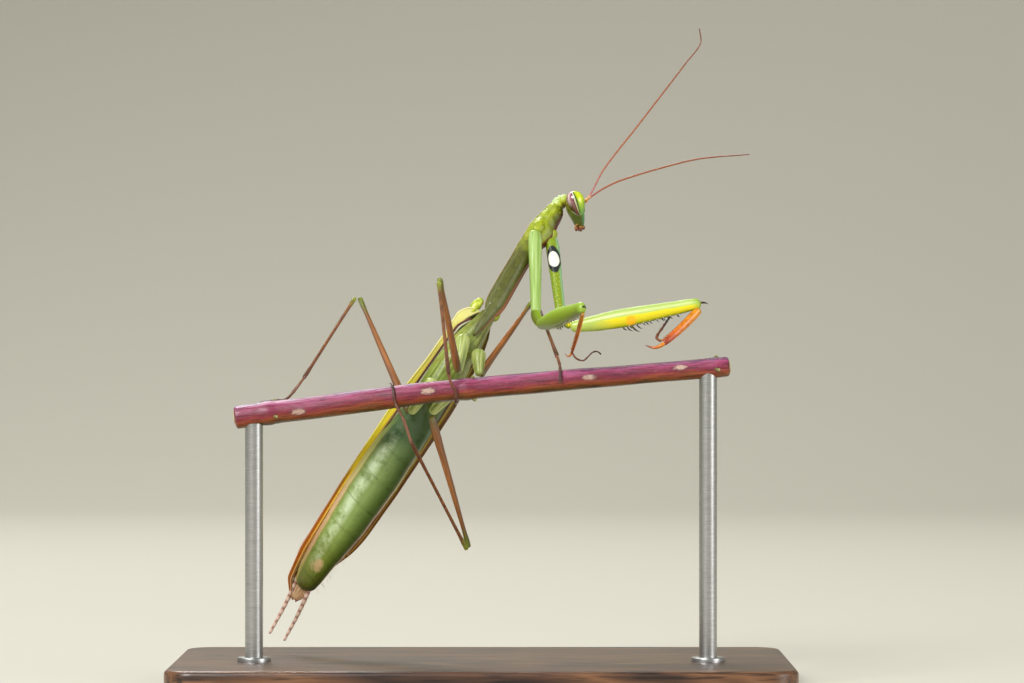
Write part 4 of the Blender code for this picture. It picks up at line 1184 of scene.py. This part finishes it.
LEGS = {  # root on the thorax, hip, knee, ankle
    "mid_right": ((-1.9, 0.1, 35.7), (-2.4, -1.7, 31.8), (-4.2, -8.7, 41.1), (-3.3, -5.7, 31.7)),
    "mid_left": ((-0.4, 0.1, 34.2), (-0.3, -1.4, 31.5), (5.3, 5.6, 39.1), (7.5, -2.7, 33.6)),
    "hind_right": ((-4.7, 0.0, 31.2), (-7.3, -0.9, 27.7), (-12.9, 6.9, 39.5), (-17.9, -2.5, 31.3)),
    "hind_left": ((-3.1, 0.0, 30.1), (-5.2, -0.9, 27.7), (-1.5, 3.7, 13.9), (-7.1, -5.1, 25.1)),
}
STEM_RADIUS = 1.10  # where the feet hold it
FOOT_REACH = 0.24  # how far a foot's middle stands off the stem
FOOT_JOINTS = ((0.0, 0.36), (0.36, 0.58), (0.58, 0.74), (0.74, 0.85), (0.85, 1.0))


def round_stem(x, angle, reach=FOOT_REACH):
    """A point beside the stem's surface, at an angle from its front, upwards positive."""
    radius = STEM_RADIUS + reach
    turn = math.radians(angle)
    return stem_middle(x) + Vector((0, -radius * math.cos(turn), radius * math.sin(turn)))


FEET = {
    "mid_right": [Vector((-3.05, -5.35, 30.8))] + [round_stem(-2.6, a) for a in (-8, -45, -85, -125)],
    "mid_left": [Vector((7.75, -3.4, 32.75))] + [round_stem(7.8, a) for a in (65, 30, -5)],
    "hind_right": [Vector((-18.5, -2.4, 30.5))] + [round_stem(x, 118) for x in (-19.6, -20.6, -22.0)],
    "hind_left": [Vector((-7.8, -5.2, 27.2))]
    + [round_stem(-8.7 - 0.1 * i, a) for i, a in enumerate((-20, 15, 50, 85))],
}


def ridged(angle, share):
    """Low keels run the length of a leg."""
    return 1.0 + 0.05 * math.cos(4 * angle) + 0.02 * math.cos(8 * angle)


def foot_swell(angle, share):
    for start, end in FOOT_JOINTS:
        if share <= end:
            return 0.82 + 0.30 * ((share - start) / (end - start)) ** 1.5
    return 1.0


def one_spine():
    """A curved spine, one millimetre long, from a broad foot to a sharp tip."""
    return limb("spine", [(0, 0, -0.10), (0.02, 0, 0.35), (0.14, 0, 0.72), (0.34, 0, 0.98)],
                [(0, 0.15), (0.35, 0.13), (0.75, 0.065), (1, 0.012)], FRONT, sides=8, count=8, levels=0)


spine = one_spine()


def paint_leg(add):
    """Green at both ends of a thigh and at the top of a shin, red-brown between, dark-edged."""
    along, side, top = attributes(add, "along", "side", "top")
    place = wander(add, along, object_noise(add, 0.8, 4.0), 0.05)
    skin = add("ValToRGB", place, {
        0: "#8a8c3a", 0.05: "#80683a", 0.13: "#96602e", 0.45: "#ac6c30", 0.84: "#94602c", 0.92: "#76822a",
        1: "#8fa52c"})
    streaks = drawn_noise(add, (side, top, along), (3.2, 3.2, 5.0), 3.0)
    shade = add("ValToRGB", streaks, {0.34: "#746660", 0.48: "#dcd0c4", 0.62: "#ffffff"})
    skin = add("MixRGB MULTIPLY", 0.75, skin, shade)
    edge = add("ValToRGB", add("Math ABSOLUTE", side), {0.70: "#000000", 0.92: "#b0b0b0"})
    return add("MixRGB", edge, skin, "#5a4438"), streaks


def paint_shin(add):
    """Green just below the knee, then brown, darker to the ankle."""
    tone = add("ValToRGB", *attributes(add, "along"), {
        0: "#a0ac28", 0.05: "#8a8c39", 0.12: "#8a5c38", 0.5: "#8f5a34", 0.85: "#7c4a2c", 1: "#5f3a26"})
    shade = add("ValToRGB", object_noise(add, 0.5, 4.0), {0.35: "#9a8c88", 0.6: "#ffffff"})
    return add("MixRGB MULTIPLY", 0.7, tone, shade), None


def paint_foot(add):
    """Dark brown, each joint paler in its middle."""
    place = add("Math MULTIPLY_ADD", object_noise(add, 0.3, 3.0), 0.4, *attributes(add, "along"))
    return add("ValToRGB", place, {0.15: "#8a5636", 0.6: "#6b3c26", 1.1: "#40241a"}), None


def paint_hip(add):
    """Pale green, drawn out in darker streaks from root to hip."""
    streaks = drawn_noise(add, attributes(add, "side", "top", "along"), (2.4, 2.4, 1.2), 3.0)
    return add("ValToRGB", streaks, {0.34: "#7a8a3c", 0.48: "#a6b45c", 0.62: "#c6cf86"}), None


thigh_chitin = cuticle("Red-brown ridged thigh chitin", paint_leg, 0.3, 0.09)
shin_chitin = cuticle("Brown shin chitin", paint_shin, 0.3, 0.08)
foot_chitin = cuticle("Dark foot chitin", paint_foot, 0.36, 0.06)
hip_chitin = cuticle("Green hip chitin", paint_hip, 0.38, coat=0.15)


def folded(before, joint, after, first, second):
    """Where two limbs that fold at a joint end, side by side."""
    back, ahead = (before - joint).normalized(), (after - joint).normalized()
    aside = square_to(ahead, back)
    return joint - aside * first, joint + aside * second


for tag, joints in LEGS.items():
    pair, leg_side = tag.split("_")
    root, hip, knee, ankle = (Vector(p) for p in joints)
    thigh = 0.45 if pair == "hind" else 0.41
    knee_end, shin_top = folded(hip, knee, ankle, 0.27, 0.24)
    hip_end, thigh_top = folded(root, hip, knee, 0.36, 0.36)
    lift = (knee_end - hip).normalized()
    coxa = limb("coxa", [root, root.lerp(hip, 0.55) + Vector((0, -0.1, 0)), hip],
                [(0, 0.82), (0.3, 0.72), (0.6, 0.58), (0.85, 0.47), (1, 0.42)], sides=20, count=24, shape=ridged)
    fit(coxa, f"hip_{tag}", hip_chitin, "trunk", f"{pair}coxa_{leg_side}")
    thigh_piece = limb("femur", [hip_end.lerp(thigh_top, 0.70), hip + lift * 1.2, hip.lerp(knee_end, 0.5), knee_end],
                       [(0, 0.33), (0.08, thigh), (0.3, thigh * 0.86), (0.6, 0.31), (0.86, 0.23), (0.95, 0.29),
                        (1, 0.27)], sides=20, count=36, shape=ridged)
    fit(thigh_piece, f"thigh_{tag}", thigh_chitin, "leg", f"{pair}femur_{leg_side}")
    shin = [limb("tibia", [shin_top, shin_top.lerp(ankle, 0.5), ankle],
                 [(0, 0.23), (0.05, 0.25), (0.15, 0.19), (0.8, 0.185), (0.95, 0.23), (1, 0.20)], sides=16, count=30,
                 shape=ridged)]
    down = (ankle - shin_top).normalized()
    aside = down.orthogonal().normalized()
    for spur in (aside, -aside):
        shin.append(copy_of(spine, ankle - down * 0.15 + spur * 0.16, down + spur * 0.5, down, 0.42))
    fit(join(shin), f"shin_{tag}", shin_chitin, "leg", f"{pair}tibia_{leg_side}")
    foot_line = Line([ankle - down * 0.1] + FEET[tag])
    foot = [limb("tarsus", foot_line, [(0, 0.16), (0.5, 0.155), (1, 0.14)], sides=14, count=60, shape=foot_swell)]
    end, onward = foot_line.at(1), foot_line.along(1)
    across = onward.cross(end - stem_middle(end.x)).normalized()
    inward = (stem_middle(end.x) - end).normalized()
    for claw in (across, -across):
        foot.append(copy_of(spine, end + claw * 0.06 - onward * 0.05, onward + claw * 0.6, inward, 0.42, 0.9))
    fit(join(foot), f"foot_{tag}", foot_chitin, "tarsus", f"{pair}tarsus_{leg_side}")


# ---------------- forelegs
# Each foreleg is a three-sided coxa with an eyespot inside, a short trochanter, a deep femur
# with two rows of black-tipped spines and four more between them, and an orange tibia that shuts
# against it like a toothed blade.

FORELEGS = {
    "right": {"sign": -1, "root": (5.3, 6.4, 46.4), "elbow": (5.4, 1.9, 37.8), "heel": (5.7, 0.7, 36.7),
              "apex": (10.0, -11.1, 38.3), "claw": (8.9, -6.5, 33.8), "girth": 0.72, "prickle": 0.6,
              "foot": [(8.9, -6.0, 34.1), (9.3, -5.6, 33.4), (10.1, -4.9, 33.1), (10.6, -4.7, 33.5),
                       (11.0, -4.6, 33.9), (11.5, -4.5, 34.0), (11.9, -4.5, 33.7)]},
    "left": {"sign": 1, "root": (7.0, 7.6, 45.7), "elbow": (7.9, 3.2, 38.0), "heel": (8.7, 2.7, 36.4),
             "apex": (22.1, 0.8, 38.8), "claw": (18.2, -1.3, 34.7), "girth": 1.15, "prickle": 1.0,
             "foot": [(18.0, -0.6, 35.0), (17.6, 0.1, 35.4), (18.3, 1.1, 36.5), (19.0, 1.9, 37.5)]},
}
FEMUR_SIZES = [
    (0, (0.40, 0.50, 0.50)), (0.12, (0.50, 0.66, 0.74)), (0.35, (0.62, 0.90, 1.08)), (0.55, (0.60, 0.86, 1.00)),
    (0.8, (0.50, 0.72, 0.74)), (0.95, (0.46, 0.66, 0.58)), (1, (0.38, 0.52, 0.50)),
]
INNER_SPINES = [(0.42 + 0.026 * i, 0.46 if i % 2 else 0.22) for i in range(17)]  # share, length
OUTER_SPINES = [(0.46, 0.36), (0.57, 0.46), (0.69, 0.46), (0.81, 0.40)]
DISC_SPINES = [(0.395, 0.50), (0.425, 0.75), (0.46, 1.0), (0.50, 0.7)]
SPINE_ROWS = (  # the row's offset to the side and depth, its lean to the apex, and its spread
    (INNER_SPINES, 0.5, 0.80, 0.25, 0.9), (OUTER_SPINES, -0.5, 0.80, 0.25, 0.25), (DISC_SPINES, 0.05, 0.92, 0.6, 0.25))
TIBIA_TEETH = 11
TOOTH_START = 0.20
TOOTH_PITCH = 0.07


def coxa_swell(angle, share):
    """Three-sided in section, with a row of low teeth along the front edge."""
    teeth = 0.06 * max(math.sin(share * 2 * math.pi * 9), 0) * hump(math.sin(angle), 0.9, 0.12)
    return 1.0 + 0.06 * math.cos(3 * (angle - math.pi / 2)) + teeth


def femur_swell(angle, share):
    """A keel along the back and a groove between the two rows of spines."""
    s = math.sin(angle)
    groove = -0.14 * hump(s, -1, 0.06) * min(max((share - 0.2) / 0.1, 0), 1)
    keel = 0.03 * hump(s, 1, 0.05)
    return 1.0 + groove + keel


def paint_coxa(add):
    """Pale green outside; inside a white-centred black eyespot over yellow-green with raised dots."""
    along, side, top, inner = attributes(add, "along", "side", "top", "inner")
    within = add("Math GREATER_THAN", inner, 0.0)
    streaks = drawn_noise(add, (side, top, along), (3.5, 3.5, 2.2), 3.0)
    outside = add("ValToRGB", streaks, {0.34: "#86a846", 0.5: "#9aba5e", 0.66: "#b4cc80"})
    dots = add("TexVoronoi", add("TexCoord").outputs["Object"], per(0.30), Randomness=0.6)
    dot = add("ValToRGB", dots, {0.16: "#ffffff", 0.30: "#000000"})
    inside = add("MixRGB", dot, "#82991a", "#dcd94e")
    inside = add("MixRGB", add("MapRange", top, 0.55, 0.80), inside, "#8fbf86")
    skin = add("MixRGB", within, outside, inside)
    jitter = add("MapRange", object_noise(add, 0.9, 3.0), 0, 1, -0.16, 0.16)
    for size, tone in (((0.185, 1.02), "#1c2224"), ((0.105, 0.86), "#f4f4e6")):
        reach = add("Math ADD", from_spot(add, along, top, (0.325, 0), size), jitter)
        spot = add("Math MULTIPLY", add("MapRange", reach, 1.05, 0.85), within)
        skin = add("MixRGB", spot, skin, tone)
    return skin, add("Math MULTIPLY", dot, within)


def paint_femur(add):
    """Mint back, yellow inner face with an orange blotch, green belly; plain green outside."""
    along, top, inner = attributes(add, "along", "top", "inner")
    cloud = object_noise(add, 1.4, 4.0)
    height = wander(add, top, cloud, 0.10)
    height = add("MapRange", height, -1.0, 1.0)
    outside = add("ValToRGB", height, {
        0: "#5f6c14", 0.22: "#687a10", 0.5: "#7a940c", 0.72: "#8aa81c", 0.9: "#9aba40", 1: "#a8c65c"})
    inside = add("ValToRGB", height, {
        0: "#7c8a1c", 0.09: "#98a018", 0.17: "#ccc60a", 0.30: "#e2d208", 0.53: "#ecdc0c", 0.58: "#b4c85c",
        0.75: "#bccf70", 1: "#a4c05a"})
    within = add("MapRange", inner, -0.1, 0.1)
    skin = add("MixRGB", within, outside, inside)
    blotch = from_spot(add, along, top, (0.468, -0.38), (0.040, 0.52))
    blotch = add("MapRange", add("Math MULTIPLY_ADD", cloud, -2.0, blotch), 0.4, -0.5)
    for share, tone in ((blotch, "#fcbc08"), (add("MapRange", along, 0.34, 0.16), "#b0c458")):
        skin = add("MixRGB", add("Math MULTIPLY", share, within), skin, tone)
    return add("MixRGB", add("MapRange", along, 0.93, 1.0), skin, "#93b43a"), None


def paint_blade(add):
    """Orange inside and brown outside, redder towards the claw."""
    along, inner = attributes(add, "along", "inner")
    bright = add("ValToRGB", along, {0: "#c49418", 0.12: "#e0900a", 0.55: "#dc7c08", 0.8: "#c4541a", 1: "#8a3018"})
    dull = add("ValToRGB", along, {0: "#a5761c", 0.3: "#9c5a1c", 1: "#84441c"})
    tone = add("MixRGB", add("MapRange", inner, -0.3, 0.3), dull, bright)
    mottle = add("ValToRGB", object_noise(add, 0.4, 4.0), {0.36: "#c9a890", 0.58: "#ffffff"})
    return add("MixRGB MULTIPLY", 0.6, tone, mottle), None


def paint_spine(add):
    """Straw at the foot, black from half way."""
    return add("ValToRGB", *attributes(add, "along"), {
        0.05: "#a0a040", 0.30: "#4c4420", 0.45: "#1a1510", 1: "#100c0a"}), None


def paint_tooth(add):
    """Orange, brown at the tip."""
    return add("ValToRGB", *attributes(add, "along"), {0: "#d98a1c", 0.6: "#c4641c", 1: "#4a1c10"}), None


coxa_chitin = cuticle("Green coxa chitin with eyespot", paint_coxa, 0.38, coat=0.15)
femur_chitin = cuticle("Green and yellow femur chitin", paint_femur, 0.38, coat=0.15)
blade_chitin = cuticle("Orange tibia chitin", paint_blade, 0.26, 0.08, coat=0.4)
spine_horn = cuticle("Black-tipped spine chitin", paint_spine, 0.22, 0.05, coat=0.5)
tooth_horn = cuticle("Orange tooth chitin", paint_tooth, 0.24, 0.05, coat=0.4)


def mark_inner(piece, sign):
    """Adds the attribute that is above 0 on the face turned to the other foreleg."""
    inner = piece.data.attributes.new("inner", "FLOAT", "POINT")
    for i, item in enumerate(piece.data.attributes["side"].data):
        inner.data[i].value = item.value * sign
    return piece


for tag, leg in FORELEGS.items():
    sign = leg["sign"]
    root, elbow, heel, apex, claw = (Vector(leg[key]) for key in ("root", "elbow", "heel", "apex", "claw"))
    coxa = limb("coxa", [root, root.lerp(elbow, 0.5) + Vector((0, 0.15, 0)), elbow],
                [(0, 0.52), (0.08, 0.66), (0.18, 0.70), (0.5, 0.62), (0.9, 0.53), (1, 0.52)], FRONT,
                sides=28, count=110, shape=coxa_swell)
    fit(mark_inner(coxa, sign), "forecoxa_skin_" + tag, coxa_chitin, "foreleg", "forecoxa_" + tag)
    within = PRONOTUM_LINE.at(0.86)
    socket = limb("socket", [within, root.lerp(within, 0.4), root + Vector((0.08, 0, -0.45))],
                  [(0, 0.50), (0.5, 0.68), (0.8, 0.74), (1, 0.56)], FRONT, sides=28, count=24,
                  shape=lambda angle, share: 1.0 + 0.05 * math.sin(share * 20 + 2 * math.cos(angle)))
    mark(socket, "along", lambda share: 0.80 + 0.04 * share)
    mark(socket, "top", -0.95)
    fit(socket, "socket_skin_" + tag, pronotum_chitin, "pronotum")

    along_femur = (apex - heel).normalized()
    trochanter = limb("trochanter", [elbow.lerp(heel, -0.35), elbow.lerp(heel, 0.5), heel + along_femur * 0.4],
                      [(0, 0.40), (0.3, 0.52), (0.7, 0.50), (1, 0.42)], FRONT, sides=24, count=16)
    fit(mark_inner(trochanter, sign), "foretrochanter_skin_" + tag, femur_chitin, "foreleg", "foretrochanter_" + tag)

    femur_line = Line([heel + along_femur * 0.2, heel.lerp(apex, 0.5), apex])
    femur = limb("femur", femur_line, FEMUR_SIZES, UP, sides=40, count=60, shape=femur_swell)
    fit(mark_inner(femur, sign), "forefemur_skin_" + tag, femur_chitin, "foreleg", "forefemur_" + tag)
    keys = with_vectors(FEMUR_SIZES)
    spines = []
    for rows, offset, depth, lean, spread in SPINE_ROWS:
        for share, length in rows:
            centre, along, side, top = femur_line.frame(share, UP)
            width, _, below = between(keys, share)
            foot = centre + side * width * offset * sign - top * below * depth
            aim = -top + along * lean + side * sign * offset * spread
            spines.append(copy_of(spine, foot, aim, along, length * leg["prickle"], 1.25 if length < 0.65 else 0.75))
    spines.append(copy_of(spine, apex - along_femur * 0.12 + UP * 0.12, along_femur + UP * 0.02, -UP, 0.85, 1.1))
    fit(join(spines), "forefemur_spines_" + tag, spine_horn, "foreleg")

    inwards = -along_femur
    girth = leg["girth"]
    bend = apex + inwards * 0.1 - UP * 0.50
    tibia_line = Line([bend, bend.lerp(claw, 0.5) - inwards * 0.15, claw])
    blade = [(0, (0.26, 0.34, 0.34)), (0.15, (0.30, 0.42, 0.40)), (0.6, (0.27, 0.40, 0.36)), (0.9, (0.22, 0.30, 0.28)),
             (1, (0.16, 0.20, 0.20))]
    shaft = limb("tibia", tibia_line, [(share, tuple(size * girth for size in row)) for share, row in blade], UP,
                 sides=20, count=36)
    fit(mark_inner(shaft, -sign), "foretibia_blade_" + tag, blade_chitin, "foretibia", "foretibia_" + tag)
    teeth = []
    for i in range(TIBIA_TEETH):
        share = TOOTH_START + TOOTH_PITCH * i
        centre, along, side, top = tibia_line.frame(share, UP)
        towards = square_to(femur_line.at(0.6) - centre, along)
        length = 0.20 + 0.016 * i
        for row in (-1, 1):
            foot = centre + towards * 0.26 * girth + side * row * 0.15 * girth
            teeth.append(copy_of(spine, foot, towards + along * 0.7, along, length * girth, 1.6))
    end_along = tibia_line.along(1)
    hook = limb("claw", [claw - end_along * 0.3, claw + end_along * 0.2 + inwards * 0.15,
                         claw + inwards - UP * 0.15, claw + inwards * 1.85 + UP * 0.25],
                [(0, 0.20 * girth), (0.3, 0.17 * girth), (0.7, 0.10 * girth), (1, 0.02)], UP, sides=16, count=26)
    teeth.append(hook)
    fit(join(teeth), "foretibia_teeth_and_claw_" + tag, tooth_horn, "foretibia")

    hand = limb("foretarsus", leg["foot"], [(0, 0.15 * girth), (0.4, 0.13 * girth), (1, 0.11 * girth)],
                sides=14, count=60, shape=foot_swell)
    fit(hand, "foretarsus_joints_" + tag, foot_chitin, "tarsus", "foretarsus_" + tag)
bpy.data.objects.remove(spine)


# ---------------- floor, light and camera
# A plain pale sweep of card under and behind the model, three soft round lamps and a pale room.
# The camera looks level and square at the stem.

FLOOR_HALF = 900 * MM
SWEEP_BACK = 420 * MM
SWEEP_RADIUS = 300 * MM
SWEEP_STEPS = 32
CAMERA_PLACE = Vector((3.0, -403.5, 35.0)) * MM
CAMERA_LENS = 140.6
LAMP_AIM = Vector((0, 0, 35))
ROOM_LIGHT = 0.38

sweep = start(bpy.ops.mesh.primitive_plane_add, size=1, location=(0, (SWEEP_BACK - FLOOR_HALF) / 2, -0.01 * MM))
sweep.scale = (2 * FLOOR_HALF, SWEEP_BACK + FLOOR_HALF, 1)
bpy.ops.object.transform_apply()
bpy.ops.object.mode_set(mode="EDIT")
edges_where(lambda edge: all(v.co.y > SWEEP_BACK - 1 * MM for v in edge.verts))
for step in range(SWEEP_STEPS):
    turn, onward = (math.radians(90 * (step + i) / SWEEP_STEPS) for i in (0, 1))
    bpy.ops.mesh.extrude_region_move(TRANSFORM_OT_translate={"value": (
        0, SWEEP_RADIUS * (math.sin(onward) - math.sin(turn)), SWEEP_RADIUS * (math.cos(turn) - math.cos(onward)))})
bpy.ops.mesh.extrude_region_move(TRANSFORM_OT_translate={"value": (0, 0, FLOOR_HALF)})
face_outwards()
smooth_object(sweep, angle=60)
card, add = new_material("Matt card")
surface(card, "#cfcbbd", roughness=0.9)
sweep.data.materials.append(card)
sweep.name = "sweep"

for tag, place, size, power in (("key", (-260, -400, 360), 260, 3.3), ("fill", (420, -260, 160), 320, 1.0),
                                ("back", (-120, 330, 420), 200, 1.4)):
    bpy.ops.object.light_add(type="AREA", location=Vector(place) * MM)
    lamp = bpy.context.object
    lamp.name = tag
    lamp.data.energy = power
    lamp.data.shape = "DISK"
    lamp.data.size = size * MM
    lamp.rotation_euler = (LAMP_AIM - Vector(place)).to_track_quat("-Z", "Y").to_euler()

world = bpy.data.worlds.new("pale room")
world.use_nodes = True
backdrop = world.node_tree.nodes["Background"]
plug(backdrop.inputs["Color"], "#e9ebe6")
plug(backdrop.inputs["Strength"], ROOM_LIGHT)
bpy.context.scene.world = world
bpy.context.scene.view_settings.view_transform = "Standard"

bpy.ops.object.camera_add(location=CAMERA_PLACE, rotation=(math.radians(90), 0, 0))
camera = bpy.context.object
camera.data.lens = CAMERA_LENS
camera.data.sensor_width = 36
camera.data.clip_start = 10 * MM
camera.data.clip_end = 5
bpy.context.scene.camera = camera
